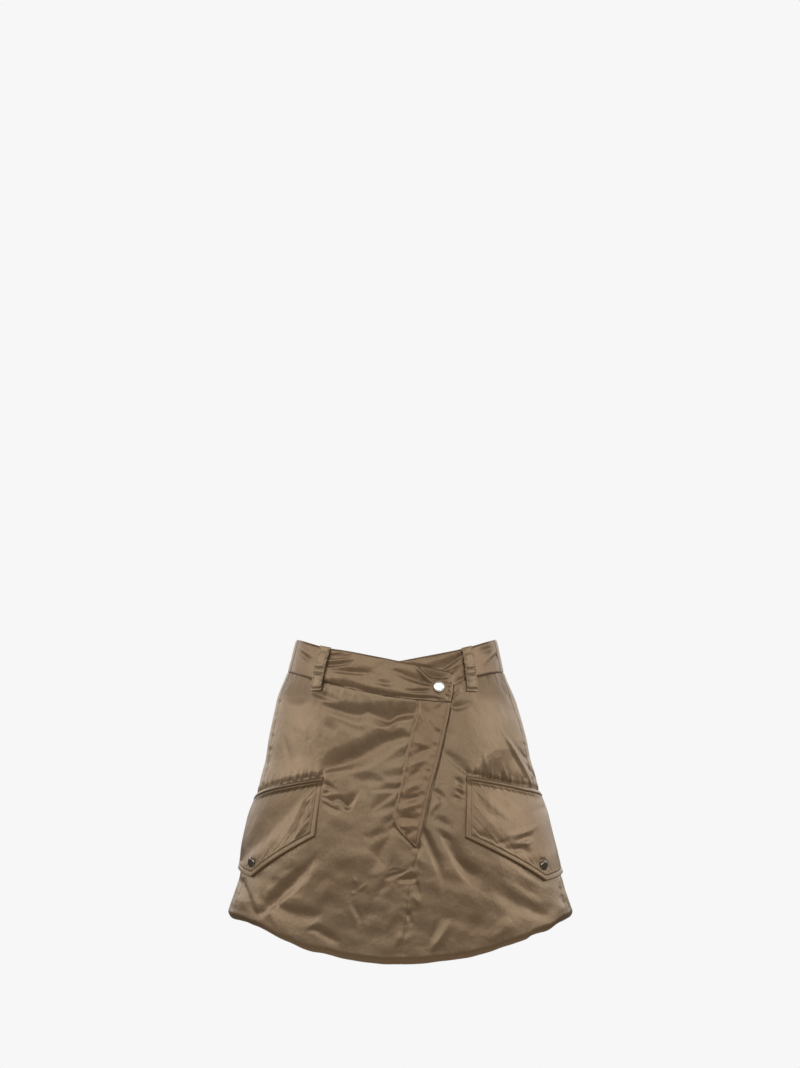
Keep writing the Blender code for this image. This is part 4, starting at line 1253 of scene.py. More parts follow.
BAND_PUFF = 1.1           # the padding between a band's edges
BAND_PUFF_POWER = 0.6
BAND_PAINTED_LIGHT = 2.0           # a band takes this much more painted shade and highlight from its relief than a panel
BAND_PAINTED_LIGHT_LEVEL = 0.8
BAND_END_PAINTED_SHADE = 6.5       # painted shade: how much darker its ends are
STUD_PAINTED_SHADE = 6.5           # and painted shade on the tab near this place beside its press stud
STUD_SHADE_REACH = 36.0
STUD_SHADE_X = WAIST_SNAP.x - 4.0
STUD_SHADE_HEIGHT = WAIST_SNAP.height + 6.0
TAB_STITCH = 4.8          # the tab's stitching lies this far in from its end
TAB_THIN = 0.8            # the tab is thinner near its end
TAB_THIN_REACH = 9.0
TAB_LIFT_START = -45.0    # it starts to rise over the band under it here
TAB_LIFT_RUN = 30.0
UNDER_PRESS = 10.0        # the band's folds die out this far under the tab's end
UNDER_TOP_PRESS = 3.0     # and this close over the tab's top
UNDER_DROP_START = 88.0   # it starts to sink under the tab here
UNDER_DROP_RUN = 18.0
SNAP_REST = 0.5           # a press stud sits on flat cloth this far past its rim
SNAP_REST_FADE = 4.0


def band_relief(u, w, width, tall):
    """A waistband's padding between its edges and its two ends."""
    puff = BAND_PUFF * np.maximum(np.sin(np.pi * w), 0.0) ** BAND_PUFF_POWER
    edges = seam_dip(w * tall, *BAND_TOP_DIP) + seam_dip((1.0 - w) * tall, *BAND_SEAM_DIP)
    return puff + edges + seam_dip(u * width) + seam_dip((1.0 - u) * width)


# Painted highlight and shade from a band's relief, less painted shade at its ends.
def band_painted_light(relief, x):
    return BAND_PAINTED_LIGHT * (relief - BAND_PAINTED_LIGHT_LEVEL) - BAND_END_PAINTED_SHADE * side_share(x)


def stud_painted_shade(x, height):
    """Painted shade: how much darker the tab is beside its press stud."""
    return STUD_PAINTED_SHADE * near(np.hypot(x - STUD_SHADE_X, height - STUD_SHADE_HEIGHT), STUD_SHADE_REACH)


def snap_rest(snap, turn, height):
    """0 where a press stud sits and 1 clear of it."""
    across = (turn - turn_at(snap.x, snap.height)) * arc_rate(turn, height)
    away = np.hypot(across, height - snap.height)
    return ramp((away - SNAP_RADIUS - SNAP_REST) / SNAP_REST_FADE)


def band_right_place(u, w, depth):
    """The waistband with the tab: u from the side seam to the tab's end, w down."""
    def lines(turn):
        return crossing(TAB_TOP, turn), waist_line(TAB_SEAM, turn) + WAIST_GAP / 2

    turn, height, width, top, bottom = between(right_edges, lines, u, w)
    x = body(turn, height)[:, 0]
    to_end = (1.0 - u) * width
    relief = band_relief(u, w, width, top - bottom) - TAB_THIN * near(to_end, TAB_THIN_REACH)
    relief += crease_relief(TAB_CREASES, turn, height) + break_relief(TAB_BREAKS, turn, height)
    relief += ripple(x, TAB_WAVES) * w + seam_dip(np.abs(to_end - TAB_STITCH), *TAB_STITCH_DIP)
    relief *= snap_rest(WAIST_SNAP, turn, height)
    lift = TAB_LIFT * ramp((x - TAB_LIFT_START) / TAB_LIFT_RUN) + relief - depth
    painted_light = band_painted_light(relief, x) - stud_painted_shade(x, height)
    return laid(turn, height, lift), painted_light, flat_place(turn, height)


def band_left_place(u, w, depth):
    """The waistband that passes behind the tab: u from its hidden end to the side seam, w down."""
    def edges(height):
        return turn_at(UNDER_END, height), side_turn("left", height, True)

    def lines(turn):
        return crossing(UNDER_TOP, turn), waist_line(UNDER_SEAM, turn) + WAIST_GAP / 2

    turn, height, width, top, bottom = between(edges, lines, u, w)
    x = body(turn, height)[:, 0]
    relief = band_relief(u, w, width, top - bottom)
    relief += crease_relief(UNDER_CREASES, turn, height)
    relief += break_relief(UNDER_BREAKS, turn, height)
    clear_of_tab = ramp((x - line_x(FLY_EDGE, height)) / UNDER_PRESS + 1.0)
    over_tab = ramp((height - line_height(TAB_TOP, x)) / UNDER_TOP_PRESS)
    relief *= np.maximum(clear_of_tab, over_tab)
    lift = UNDER_DROP * (1.0 - ramp((x - UNDER_DROP_START) / UNDER_DROP_RUN + 1.0)) + relief - depth
    return laid(turn, height, lift), band_painted_light(relief, x), flat_place(turn, height)


def band_back_place(u, w, depth):
    """The waistband at the back: u from the left side seam to the right one, w down."""
    def edges(height):
        level = 0.0 * height      # its two ends stand upright
        left, right = side_turn("left", level, False), side_turn("right", level, False)
        return left, right - 2 * math.pi

    def lines(turn):
        top = back_line(turn, BAND_TOP, BACK_DIP_TOP)
        return top, waist_line(None, turn) + WAIST_GAP / 2

    turn, height, width, top, bottom = between(edges, lines, u, w)
    relief = band_relief(u, w, width, top - bottom)
    relief += crease_relief(BACK_BAND_CREASES, turn, height, -1)
    relief += ripple(width * u, BACK_BAND_WAVES) * w
    points = laid(turn, height, relief - depth)
    return points, band_painted_light(relief, points[:, 0]), flat_place(turn, height)


def build_waistband():
    lay_cloth("waistband_right", 150, 34, band_right_place, BAND_WALL, SATIN_BAND_SHADED)
    lay_cloth("waistband_left", 110, 34, band_left_place, BAND_WALL, SATIN_BAND_SHADED)
    lay_cloth("waistband_back", 190, 30, band_back_place, BAND_WALL, SATIN_BAND_SHADED)


PLACKET_INSET = 1.0       # the placket stays this far inside the waist seam and the fly's edge
PLACKET_TOP = line_height(TAB_SEAM, 40.0) - PLACKET_INSET
PLACKET_LENGTH = 180.0    # about how long it is
PLACKET_HEAD = 0.06       # the share of its length that slants with the waist seam
PLACKET_STITCH = 3.3      # its stitching lies this far in from the fly's edge
PLACKET_STITCH_FADE = 5.0
PLACKET_PRESSED = 4.0     # its creases die out this close to its inner line
PLACKET_INNER_SLANT = 0.5
PLACKET_EDGE_SLANT = -0.4
PLACKET_EDGE_PUCKER_AT = 7.0
PLACKET_ROLL = 0.9        # the roll of its inner edge, how far in it lies and how wide it is
PLACKET_ROLL_AT = 1.6
PLACKET_ROLL_WIDTH = 1.3
# painted shade and highlight that the placket takes from its relief
PLACKET_PAINTED_LIGHT = 1.6
PLACKET_END_PAINTED_SHADE = 5.0    # painted shade: how much darker its foot is
PLACKET_END_START = 0.80
PLACKET_END_FADE = 0.15


def placket_place(u, w, depth):
    """The slanting strip: u from its inner line to the fly's edge, w down."""
    height = PLACKET_TOP + (PLACKET_END - PLACKET_TOP) * w
    inner = line_x(PLACKET_INNER, height)
    edge = line_x(FLY_EDGE, height) - PLACKET_INSET
    x = inner + (edge - inner) * u
    slant = line_height(TAB_SEAM, x) - PLACKET_INSET - PLACKET_TOP
    height = height + slant * (1.0 - ramp(w / PLACKET_HEAD))
    turn = turn_at(x, height)
    width = np.maximum(edge - inner, 1.0)
    inner_far, far = u * width, (1.0 - u) * width
    relief = crease_relief(PLACKET_CREASES, turn, height)
    relief += gathers(height + PLACKET_INNER_SLANT * inner_far, inner_far, PLACKET_INNER_PUCKERS)
    relief += gathers(height + PLACKET_EDGE_SLANT * far, np.abs(far - PLACKET_EDGE_PUCKER_AT),
                      PLACKET_EDGE_PUCKERS)
    relief *= ramp(inner_far / PLACKET_PRESSED) * ramp((far - PLACKET_STITCH) / PLACKET_STITCH_FADE)
    relief += PLACKET_ROLL * np.exp(-((inner_far - PLACKET_ROLL_AT) / PLACKET_ROLL_WIDTH) ** 2)
    relief += seam_dip(inner_far, *PLACKET_INNER_DIP) + seam_dip(far, *PLACKET_EDGE_DIP)
    relief += seam_dip(np.abs(far - PLACKET_STITCH), *PLACKET_STITCH_DIP)
    relief += seam_dip((1.0 - w) * PLACKET_LENGTH, *PLACKET_END_DIP)
    lift = fly_lift(turn, height, 1) + LAID_GAP + PLACKET_WALL + relief - depth
    foot = ramp((w - PLACKET_END_START) / PLACKET_END_FADE)
    painted_light = PLACKET_PAINTED_LIGHT * relief - PLACKET_END_PAINTED_SHADE * foot
    return laid(turn, height, lift), painted_light, np.stack([x, height], -1)


FLAP_RATE = 3.1           # about how many millimetres one degree of turn is on a flap
FLAP_STITCH = 6.2         # the border's stitching lies this far in from the edge
FLAP_STITCH_FADE = 6.0
FLAP_PAD = 1.2            # how far the padding swells inside the border
FLAP_PAD_REACH = 24.0
FLAP_PUCKER_SLANT = -0.8  # the puckers slant, and are deepest this far in from the edge
FLAP_PUCKER_AT = FLAP_STITCH + 2.0
FLAP_BORDER = 0.45        # how far the border swells between its edge and its stitching
FLAP_BORDER_EDGE = 1.2
FLAP_BORDER_SEAM = 1.6
FLAP_ROLL = 0.9           # the roll along a flap's top, how far down it lies and how wide it is
FLAP_ROLL_AT = 3.4
FLAP_ROLL_WIDTH = 1.9
FLAP_ROLL_ENDS = 2.0
FLAP_FRONT = 26.0         # degrees in front of the side where the roll and the hollow are full
FLAP_HOLLOW = {"right": 2.4, "left": 1.8}
FLAP_HOLLOW_REACH = {"right": 90.0, "left": 40.0}
FLAP_HOLLOW_TOP = 4.6     # the hollow starts this far down, and is full this far on
FLAP_HOLLOW_FADE = 8.0
FLAP_HOLLOW_FULL = 12.0
FLAP_ROOT = 0.8           # how much thinner a flap is along its sewn top
FLAP_ROOT_REACH = 5.0
# painted shade and highlight that a flap takes from its relief
FLAP_PAINTED_LIGHT = 0.6
FLAP_PAINTED_LIGHT_LEVEL = 0.4
UPPER_PAINTED_SHADE = {"right": 7.5, "left": 0.0}    # painted shade: how much darker a flap's upper part is
UPPER_X = 78.0            # its upper part ends at the diagonal where the height is x less this
UPPER_SLANT = 0.71        # the share of a rise straight up that leads away from the diagonal
UPPER_START = 5.0
UPPER_FADE = 14.0
CROWDING = 0.6            # how much closer together a flap's rows lie near its edges


def upper_shade_share(x, height):
    """Share of painted shade: 1 in a right flap's upper part, falling to 0 at the diagonal from its
    snap to its corner.
    """
    return ramp((UPPER_SLANT * (height - x + UPPER_X) - UPPER_START) / UPPER_FADE)


def denser(share):
    """Shares from 0 to 1, drawn closer together near both ends."""
    return share - CROWDING * np.sin(2 * np.pi * share) / (2 * np.pi)


def flap_inset(edges, degrees, w, height, top, rate):
    """How far places lie inside a flap's edge."""
    front, point, back = edges
    inset = np.minimum(front.degrees + front.slant * w - degrees, degrees - back.degrees) * rate
    inset = np.minimum(inset, top - height)
    for start, end in ((front, point), (point, back)):
        start_at = start.degrees + start.slant
        fall = (start.bottom - end.bottom) / (start_at - end.degrees)
        below = height - (start.bottom + (degrees - start_at) * fall)
        inset = np.minimum(inset, below / math.hypot(1.0, fall / FLAP_RATE))
    return np.maximum(inset, 0.0)


def flap_place(side, u, w, depth):
    """A pocket flap: u from its front edge to its back edge, w down."""
    edges = FLAPS[side]
    front, _, back = edges
    u, w = denser(u), denser(w)
    place = front.degrees + (back.degrees - front.degrees) * u
    top, bottom = flap_lines(edges, place)
    height = top + (bottom - top) * w
    degrees = place + front.slant * w * flap_share(edges, place)
    turn = np.radians(degrees if side == "left" else 180.0 - degrees)
    inset = flap_inset(edges, degrees, w, height, top, degree_rate(turn, height))
    in_front, down = ramp(degrees / FLAP_FRONT), top - height
    relief = crease_relief(FLAP_CREASES[side], turn, height)
    relief += break_relief(FLAP_BREAKS[side], turn, height)
    relief += FLAP_PAD * ramp((inset - FLAP_STITCH) / FLAP_PAD_REACH)
    puckers = ripple(degrees * FLAP_RATE + FLAP_PUCKER_SLANT * height, FLAP_PUCKERS)
    relief += puckers * np.exp(-np.abs(inset - FLAP_PUCKER_AT) / FLAP_PUCKERS.reach)
    relief *= snap_rest(FLAP_SNAPS[side], turn, height)
    relief *= ramp((inset - FLAP_STITCH) / FLAP_STITCH_FADE)
    border = ramp(inset / FLAP_BORDER_EDGE) * ramp((FLAP_STITCH - inset) / FLAP_BORDER_SEAM)
    relief += FLAP_BORDER * border
    relief += seam_dip(np.abs(inset - FLAP_STITCH), *FLAP_STITCH_DIP)
    relief += seam_dip(inset, *FLAP_EDGE_DIP)
    roll = np.exp(-((down - FLAP_ROLL_AT) / FLAP_ROLL_WIDTH) ** 2) * ramp(inset / FLAP_ROLL_ENDS)
    relief += FLAP_ROLL * roll * in_front
    hollow = ramp((down - FLAP_HOLLOW_TOP) / FLAP_HOLLOW_FADE)
    hollow *= near(down - FLAP_HOLLOW_FULL, FLAP_HOLLOW_REACH[side])
    relief -= FLAP_HOLLOW[side] * hollow * in_front
    relief += flap_sink(-down) - FLAP_ROOT * near(down, FLAP_ROOT_REACH)
    lift = hem_push(turn, height) + FLAP_GAP + FLAP_WALL + relief - depth
    # painted shade on a right flap's upper part, with painted shade and highlight from the relief
    upper = UPPER_PAINTED_SHADE[side] * upper_shade_share(body(turn, height)[..., 0], height)
    painted_light = FLAP_PAINTED_LIGHT * (relief - FLAP_PAINTED_LIGHT_LEVEL) - upper
    return laid(turn, height, lift), painted_light, np.stack([degrees * FLAP_RATE, height], -1)


LOOP_STITCH = 2.2         # a loop's stitching lies this far in from its sides
LOOP_TACKS = (0.50, 0.63, 0.96)    # the bar tacks across it, as shares of its length
LOOP_BOW_POWER = 0.7
# painted shade and highlight that a loop takes from its relief
LOOP_PAINTED_LIGHT = 1.5
LOOP_EDGE_FADE = 4.0
# Waves of a loop's sides, face and edges, whose seeds come from where the loop lies.
LOOP_WOBBLE = Wave(0.45, 8.0, None)
LOOP_WOBBLE_SEED = 0.1
LOOP_WAVES = Wave(0.3, 13.0, None)
LOOP_EDGE_WAVES = Wave(0.5, 7.0, None, 4.0)
LOOP_WOBBLE_SLANT = 3.0
LOOP_EDGE_SLANT = 9.0


def loop_top(loop, x):
    """Height of a belt loop's top at an x, along the waistband's edge."""
    if loop.face < 0:
        return back_line(turn_at(x, 0.0, -1), BAND_TOP, BACK_DIP_TOP) + LOOP_PROUD
    return line_height(TAB_TOP if loop.top_x < 0 else UNDER_TOP, x) + LOOP_PROUD


def loop_place(loop, u, w, depth):
    """A belt loop: u across, w down, standing off the band between its sewn ends."""
    middle = loop_top(loop, loop.top_x)
    at_top = turn_at(loop.top_x, middle, loop.face)
    at_top = at_top - (u - 0.5) * LOOP_WIDTH / arc_rate(at_top, middle)
    top = loop_top(loop, body(at_top, middle)[:, 0])
    x = loop.top_x + (loop.bottom_x - loop.top_x) * w
    height = top + (loop.bottom - top) * w
    turn = turn_at(x, height, loop.face)
    down = w * (top - loop.bottom)
    uneven = LOOP_WOBBLE._replace(seed=LOOP_WOBBLE_SEED * loop.top_x)
    wobble = ripple(down + LOOP_WOBBLE_SLANT * u, uneven)
    turn = turn - ((u - 0.5) * LOOP_WIDTH + wobble) / arc_rate(turn, height)
    across = np.minimum(u, 1.0 - u) * LOOP_WIDTH
    relief = seam_dip(np.abs(across - LOOP_STITCH), *LOOP_STITCH_DIP)
    relief += seam_dip(across, *LOOP_EDGE_DIP)
    for tack in LOOP_TACKS:
        relief += seam_dip(np.abs(w - tack) * (top - loop.bottom), *LOOP_TACK_DIP)
    relief += ripple(down, LOOP_WAVES._replace(seed=loop.top_x)) * ramp(across / LOOP_EDGE_FADE)
    relief += gathers(down + LOOP_EDGE_SLANT * u, across,
                      LOOP_EDGE_WAVES._replace(seed=loop.bottom_x))
    bow = LOOP_BOW * np.maximum(np.sin(np.pi * w), 0.0) ** LOOP_BOW_POWER
    lift = LAID_GAP + bow + LOOP_WALL + relief - depth
    return laid(turn, height, lift), LOOP_PAINTED_LIGHT * relief, np.stack([u * LOOP_WIDTH, height], -1)


def build_laid_pieces():
    lay_cloth("fly_placket", 36, 170, placket_place, PLACKET_WALL, SATIN_PLACKET_SHADED)
    for side in FLAPS:
        # the right flap is laid from back to front, so that its face looks out as the left one's
        def flap(u, w, depth, side=side):
            return flap_place(side, 1.0 - u if side == "right" else u, w, depth)

        lay_cloth("pocket_flap_" + side, 170, 130, flap, FLAP_WALL, SATIN_FLAP)
    for loop in LOOPS:
        lay_cloth(loop.name, 18, 64, partial(loop_place, loop), LOOP_WALL)


# ---------------------------------------------------------------- press studs
# Steps of a snap's face from its rim in: how far in each goes, and how far it rises.
SNAP_STEPS = ((0.60, 0.80), (0.25, 0.05), (0.25, -0.20), (0.25, 0.22), (0.9, 0.14), (1.4, 0.09),
              (1.6, 0.04), (1.2, 0.01))
SNAP_RIM = 0.9            # how tall its rim is
SNAP_BEVEL = 0.35
SNAP_BEVEL_ANGLE = math.radians(50)
SNAP_SMOOTH = math.radians(40)


def build_snap(snap, lift, metal):
    """A domed cap with a rolled rim and a shallow ring, set on the cloth."""
    deselect()
    bpy.ops.mesh.primitive_cylinder_add(vertices=64, radius=SNAP_RADIUS * MM, depth=SNAP_RIM * MM,
                                        location=(0.0, 0.0, SNAP_RIM / 2 * MM))
    piece = bpy.context.object
    bpy.ops.object.mode_set(mode="EDIT")
    bpy.ops.mesh.select_all(action="DESELECT")
    bpy.ops.object.mode_set(mode="OBJECT")
    top = max(piece.data.polygons, key=lambda face: face.center.z)
    top.select = True
    bpy.ops.object.mode_set(mode="EDIT")
    for inset, rise in SNAP_STEPS:
        bpy.ops.mesh.inset(thickness=inset * MM)
        bpy.ops.transform.translate(value=(0.0, 0.0, rise * MM))
    bpy.ops.mesh.poke()
    bpy.ops.object.mode_set(mode="OBJECT")
    bevel = piece.modifiers.new("rim", "BEVEL")
    bevel.width = SNAP_BEVEL * MM
    bevel.segments = 3
    bevel.limit_method = "ANGLE"
    bevel.angle_limit = SNAP_BEVEL_ANGLE
    bpy.ops.object.modifier_apply(modifier=bevel.name)
    bpy.ops.object.shade_smooth_by_angle(angle=SNAP_SMOOTH)
    heights = np.array([snap.height])
    turns = turn_at(snap.x, heights)
    out = Vector(outward(turns, heights)[0])
    base = Vector(body(turns, heights)[0]) + out * lift
    axis = (out + Vector(snap.lean)).normalized()
    piece.data.transform(Matrix.Translation(base * MM)
                         @ axis.to_track_quat("Z", "Y").to_matrix().to_4x4())
    piece.matrix_world = Matrix.Identity(4)
    return keep(piece, snap.name + "_cap", snap.name, metal)


def build_snaps():
    build_snap(WAIST_SNAP, TAB_LIFT + LAID_GAP, NICKEL)
    for snap in FLAP_SNAPS.values():
        build_snap(snap, FLAP_GAP + FLAP_WALL + LAID_GAP, SHADED_NICKEL)


# ---------------------------------------------------------------- stitching
STITCH_PITCH = 3.0
STITCH_LENGTH = 2.3
STITCH_RADIUS = 0.30
STITCH_LIFT = 0.05        # stitches lie this far off the cloth
BORDER_STEPS = 40         # points along each side of a flap's border
SPARSER_STEPS = 2001
SEAM_STEPS = 120
PLACKET_TACK_STEPS = 16
LOOP_TACK_STEPS = 12
# Where seams and bar tacks lie on a piece or start and end, as shares of its length or width.
PLACKET_TACKS = (0.945, 0.953, 0.961, 0.969, 0.977)
PLACKET_TACK_ENDS = (0.12, 0.88)
PLACKET_SEAM_ENDS = (0.02, 0.92)
LOOP_SEAM_ENDS = (0.04, 0.96)
LOOP_TACK_ENDS = (0.18, 0.82)
LOOP_TACK_HALF = 0.006    # half the share of a loop between the two rows of a bar tack


def sew(name, paths, material=THREAD):
    """Rows of stitches along paths of points, joined into one piece."""
    rows = []
    for path in paths:
        points = [Vector(point) * MM for point in path]
        length = sum((b - a).length for a, b in zip(points, points[1:]))
        deselect()
        bpy.ops.mesh.primitive_cylinder_add(vertices=6, radius=STITCH_RADIUS * MM,
                                            depth=STITCH_LENGTH * MM, end_fill_type="TRIFAN",
                                            rotation=(0.0, QUARTER, 0.0),
                                            location=(STITCH_PITCH / 2 * MM, 0.0, 0.0))
        stitch = bpy.context.object
        bpy.ops.object.transform_apply(location=True, rotation=True)
        curve = bpy.data.curves.new("seam", "CURVE")
        curve.dimensions = "3D"
        spline = curve.splines.new("POLY")
        spline.points.add(len(points) - 1)
        for knot, point in zip(spline.points, points):
            knot.co = (*point, 1.0)
        guide = bpy.data.objects.new("seam", curve)
        bpy.context.scene.collection.objects.link(guide)
        array = stitch.modifiers.new("row", "ARRAY")
        array.use_relative_offset = False
        array.use_constant_offset = True
        array.constant_offset_displace = (STITCH_PITCH * MM, 0.0, 0.0)
        array.count = max(int(length / (STITCH_PITCH * MM)), 1)
        bend = stitch.modifiers.new("seam", "CURVE")
        bend.object = guide
        for modifier in (array, bend):
            bpy.ops.object.modifier_apply(modifier=modifier.name)
        bpy.data.objects.remove(guide)
        rows.append(stitch)
    deselect()
    for row in rows:
        row.select_set(True)
    bpy.context.view_layer.objects.active = rows[0]
    if len(rows) > 1:
        bpy.ops.object.join()
    piece = rows[0]
    bpy.ops.object.shade_smooth()
    return keep(piece, name, None, material)


def on_grid(place, us, ws):
    """Points along a line of places on a laid piece, lifted just off its cloth."""
    us, ws = np.broadcast_arrays(np.asarray(us, float), np.asarray(ws, float))
    return place(us + 0.0, ws + 0.0, np.full(us.shape, -STITCH_LIFT))[0]


def sparser(share):
    """The share that denser() takes to this one."""
    steps = np.linspace(0.0, 1.0, SPARSER_STEPS)
    return np.interp(share, denser(steps), steps)


def flap_border(side):
    """The paths of the stitching that runs round a flap, inside its edge."""
    edges = FLAPS[side]
    front, _, back = edges
    corners = [((corner.degrees + corner.slant) * FLAP_RATE, corner.bottom) for corner in edges]
    corners += [(corner.degrees * FLAP_RATE, corner.top) for corner in edges[::-1]]
    inner = []
    for before, at, after in zip(corners[-1:] + corners[:-1], corners, corners[1:] + corners[:1]):
        ways = unit(np.subtract(at, before)), unit(np.subtract(after, at))
        normals = [np.array((-way[1], way[0])) for way in ways]
        middle = unit(normals[0] + normals[1])
        inner.append(np.array(at) - middle * FLAP_STITCH / float(middle @ normals[0]))

    def place(u, w, depth):
        return flap_place(side, sparser(u), sparser(w), depth)

    paths = []
    for start, end in zip(inner, inner[1:] + inner[:1]):
        line = start + (end - start) * np.linspace(0.0, 1.0, BORDER_STEPS)[:, None]
        height = line[:, 1]
        degrees = upright(edges, line[:, 0] / FLAP_RATE, height)
        top, bottom = flap_lines(edges, degrees)
        u = (front.degrees - degrees) / (front.degrees - back.degrees)
        paths.append(on_grid(place, u, (height - top) / (bottom - top)))
    return paths


def build_stitching():
    height = np.linspace(PLACKET_TOP, PLACKET_TOP - PLACKET_LENGTH, SEAM_STEPS)
    width = line_x(FLY_EDGE, height) - PLACKET_INSET - line_x(PLACKET_INNER, height)
    down = np.linspace(*PLACKET_SEAM_ENDS, SEAM_STEPS)
    sew("placket_stitching", [on_grid(placket_place, 1.0 - PLACKET_STITCH / width, down)])
    across = np.linspace(*PLACKET_TACK_ENDS, PLACKET_TACK_STEPS)
    sew("placket_tack", [on_grid(placket_place, across, w) for w in PLACKET_TACKS], TACK_THREAD)
    for side in FLAPS:
        sew("flap_stitching_" + side, flap_border(side))
    edge = LOOP_STITCH / LOOP_WIDTH
    down = np.linspace(*LOOP_SEAM_ENDS, SEAM_STEPS)
    across = np.linspace(*LOOP_TACK_ENDS, LOOP_TACK_STEPS)
    for loop in LOOPS:
        place = partial(loop_place, loop)
        paths = [on_grid(place, edge, down), on_grid(place, 1.0 - edge, down)]
        for tack in LOOP_TACKS:
            paths += [on_grid(place, across, tack + half)
                      for half in (-LOOP_TACK_HALF, LOOP_TACK_HALF)]
        sew(loop.name + "_stitching", paths)


# ---------------------------------------------------------------- the cut of the cloth
# Each piece's flat width and length as cut, and its flat area, in metres; what holds it, the nodes
# that it hangs from or lies on, and the sewing on it.
Cut = namedtuple("Cut", "node width length area held rests_on sewing")
CUTS = (
    Cut("front_right", 0.300, 0.400, 0.0900, "hung", ("waistband_right",), ()),
    Cut("front_left", 0.260, 0.400, 0.0700, "hung", ("waistband_left",), ()),
    Cut("back_right", 0.330, 0.400, 0.1020, "hung", ("waistband_back",), ()),
    Cut("back_left", 0.330, 0.400, 0.1020, "hung", ("waistband_back",), ()),
    Cut("waistband_right", 0.275, 0.050, 0.0115, "stretched", ("front_right",), ()),
    Cut("waistband_left", 0.180, 0.050, 0.0075, "stretched", ("front_left",), ()),
    Cut("waistband_back", 0.430, 0.060, 0.0200, "stretched", ("back_right", "back_left"), ()),
    Cut("fly_placket", 0.048, 0.190, 0.0074, "laid", ("front_right",),
        ("placket_stitching", "placket_tack")),
    Cut("pocket_flap_right", 0.222, 0.115, 0.0190, "laid", ("front_right", "back_right"),
        ("flap_stitching_right",)),
    Cut("pocket_flap_left", 0.235, 0.120, 0.0225, "laid", ("front_left", "back_left"),
        ("flap_stitching_left",)),
)
LOOP_CUT = Cut("", 0.016, 0.075, 0.00106, "laid", (), ())
LOOP_BANDS = ("waistband_right", "waistband_left", "waistband_back", "waistband_back",
              "waistband_back")


def declare_cuts():
    loops = [LOOP_CUT._replace(node=loop.name, rests_on=(band,),
                               sewing=(loop.name + "_stitching",))
             for loop, band in zip(LOOPS, LOOP_BANDS)]
    for cut in (*CUTS, *loops):
        bpy.data.objects[cut.node + "_satin"]
        [node + "_satin" for node in cut.rests_on]
        list(cut.sewing)


# ---------------------------------------------------------------- room
CAMERA_DISTANCE = 5.0
CAMERA_HEIGHT = -0.19
CAMERA_PITCH = math.radians(3.96)
CAMERA_LENS = 132.7
CAMERA_SENSOR = 36.0
CAMERA_REACH = 60.0
FLOOR_HEIGHT = -1.05
BACKDROP = (0.93, 0.93, 0.93, 1.0)
GLOW = (1.0, 0.85, 0.70, 1.0)
GLOW_STRENGTH = 0.13
LIGHT_AIM = (0.0, 0.0, -0.18)


def build_camera():
    camera = bpy.data.objects.new("camera", bpy.data.cameras.new("camera"))
    camera.data.lens = CAMERA_LENS
    camera.data.sensor_width = CAMERA_SENSOR
    camera.data.clip_end = CAMERA_REACH
    camera.location = (0.0, -CAMERA_DISTANCE, CAMERA_HEIGHT)
    camera.rotation_euler = (QUARTER + CAMERA_PITCH, 0.0, 0.0)
    bpy.context.scene.collection.objects.link(camera)
    bpy.context.scene.camera = camera


def build_world():
    """Pale surroundings for the eye and a dimmer, even light from them."""
    world = bpy.data.worlds.new("studio")
    bpy.context.scene.world = world
    world.use_nodes = True
    nodes, links = world.node_tree.nodes, world.node_tree.links
    nodes.clear()
    output = nodes.new("ShaderNodeOutputWorld")
    mix = nodes.new("ShaderNodeMixShader")
    path = nodes.new("ShaderNodeLightPath")
    seen, lit = nodes.new("ShaderNodeBackground"), nodes.new("ShaderNodeBackground")
    seen.inputs["Color"].default_value = BACKDROP
    lit.inputs["Color"].default_value = GLOW
    lit.inputs["Strength"].default_value = GLOW_STRENGTH
    links.new(path.outputs["Is Camera Ray"], mix.inputs[0])
    links.new(lit.outputs[0], mix.inputs[1])
    links.new(seen.outputs[0], mix.inputs[2])
    links.new(mix.outputs[0], output.inputs["Surface"])


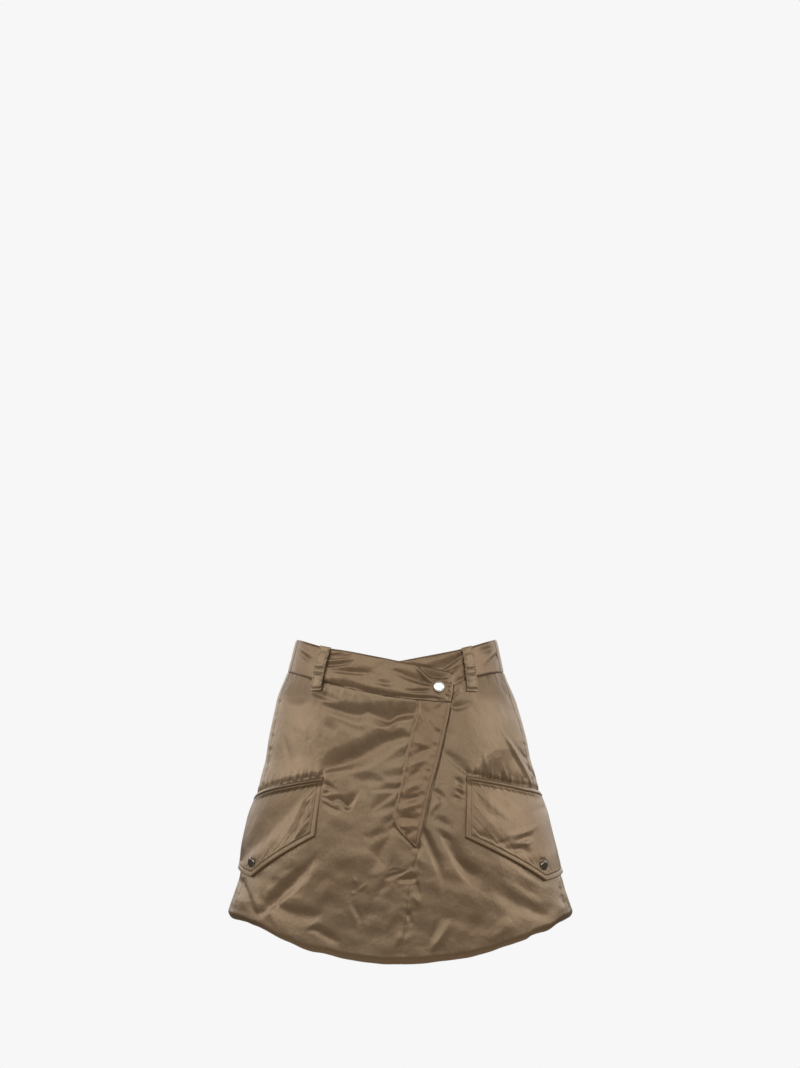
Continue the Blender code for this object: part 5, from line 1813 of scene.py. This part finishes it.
Softbox = namedtuple("Softbox", "name place width height power")
SOFTBOXES = (
    Softbox("left", (-2.7, -0.5, 0.95), 2.2, 1.5, 23.0),
    Softbox("right", (2.7, -0.5, 0.95), 2.2, 1.5, 23.0),
    Softbox("left_rear", (-2.3, 1.9, 0.90), 2.6, 1.7, 21.0),
    Softbox("right_rear", (2.3, 1.9, 0.90), 2.6, 1.7, 20.0),
    Softbox("left_front", (-2.1, -2.0, 1.7), 1.4, 2.0, 12.0),
    Softbox("right_front", (2.1, -2.0, 1.7), 1.4, 2.0, 8.0),
    Softbox("front", (-0.1, -2.8, 1.7), 3.4, 2.5, 38.0),
    Softbox("snap_glint", (1.7, -2.6, 0.85), 0.8, 0.7, 2.7),
    Softbox("back", (0.0, 3.0, 1.2), 3.2, 2.6, 40.0),
)


def build_lights():
    for box in SOFTBOXES:
        data = bpy.data.lights.new(box.name, "AREA")
        data.shape = "RECTANGLE"
        data.size = box.width
        data.size_y = box.height
        data.energy = box.power
        lamp = bpy.data.objects.new(box.name, data)
        lamp.location = box.place
        towards = Vector(LIGHT_AIM) - Vector(box.place)
        lamp.rotation_euler = towards.to_track_quat("-Z", "Y").to_euler()
        bpy.context.scene.collection.objects.link(lamp)


FLOOR_RADIUS = 1.5
FLOOR_SOLID = 0.5         # the floor is solid up to this share of its radius and fades beyond it


def build_floor():
    deselect()
    bpy.ops.mesh.primitive_circle_add(vertices=96, radius=FLOOR_RADIUS, fill_type="NGON",
                                      location=(0.0, 0.0, FLOOR_HEIGHT))
    floor = bpy.context.object
    floor.name = "floor"
    shader = Shader("floor", Base_Color=(0.52, 0.45, 0.38, 1.0), Roughness=0.9)
    place = shader.node("TexCoord", {}, {}, "Object")
    away = shader.node("VectorMath", {"operation": "LENGTH"}, {0: place}, "Value")
    fade = (1.0 - away * (1 / FLOOR_RADIUS)) * (1 / (1.0 - FLOOR_SOLID))
    shader.feed(shader.surface.inputs["Alpha"], fade.clamp())
    floor.data.materials.append(shader.material)


build_camera()
build_world()
build_lights()
build_floor()
build_panels()
build_waistband()
build_laid_pieces()
build_snaps()
build_stitching()
declare_cuts()

bpy.context.scene.view_settings.view_transform = "Standard"
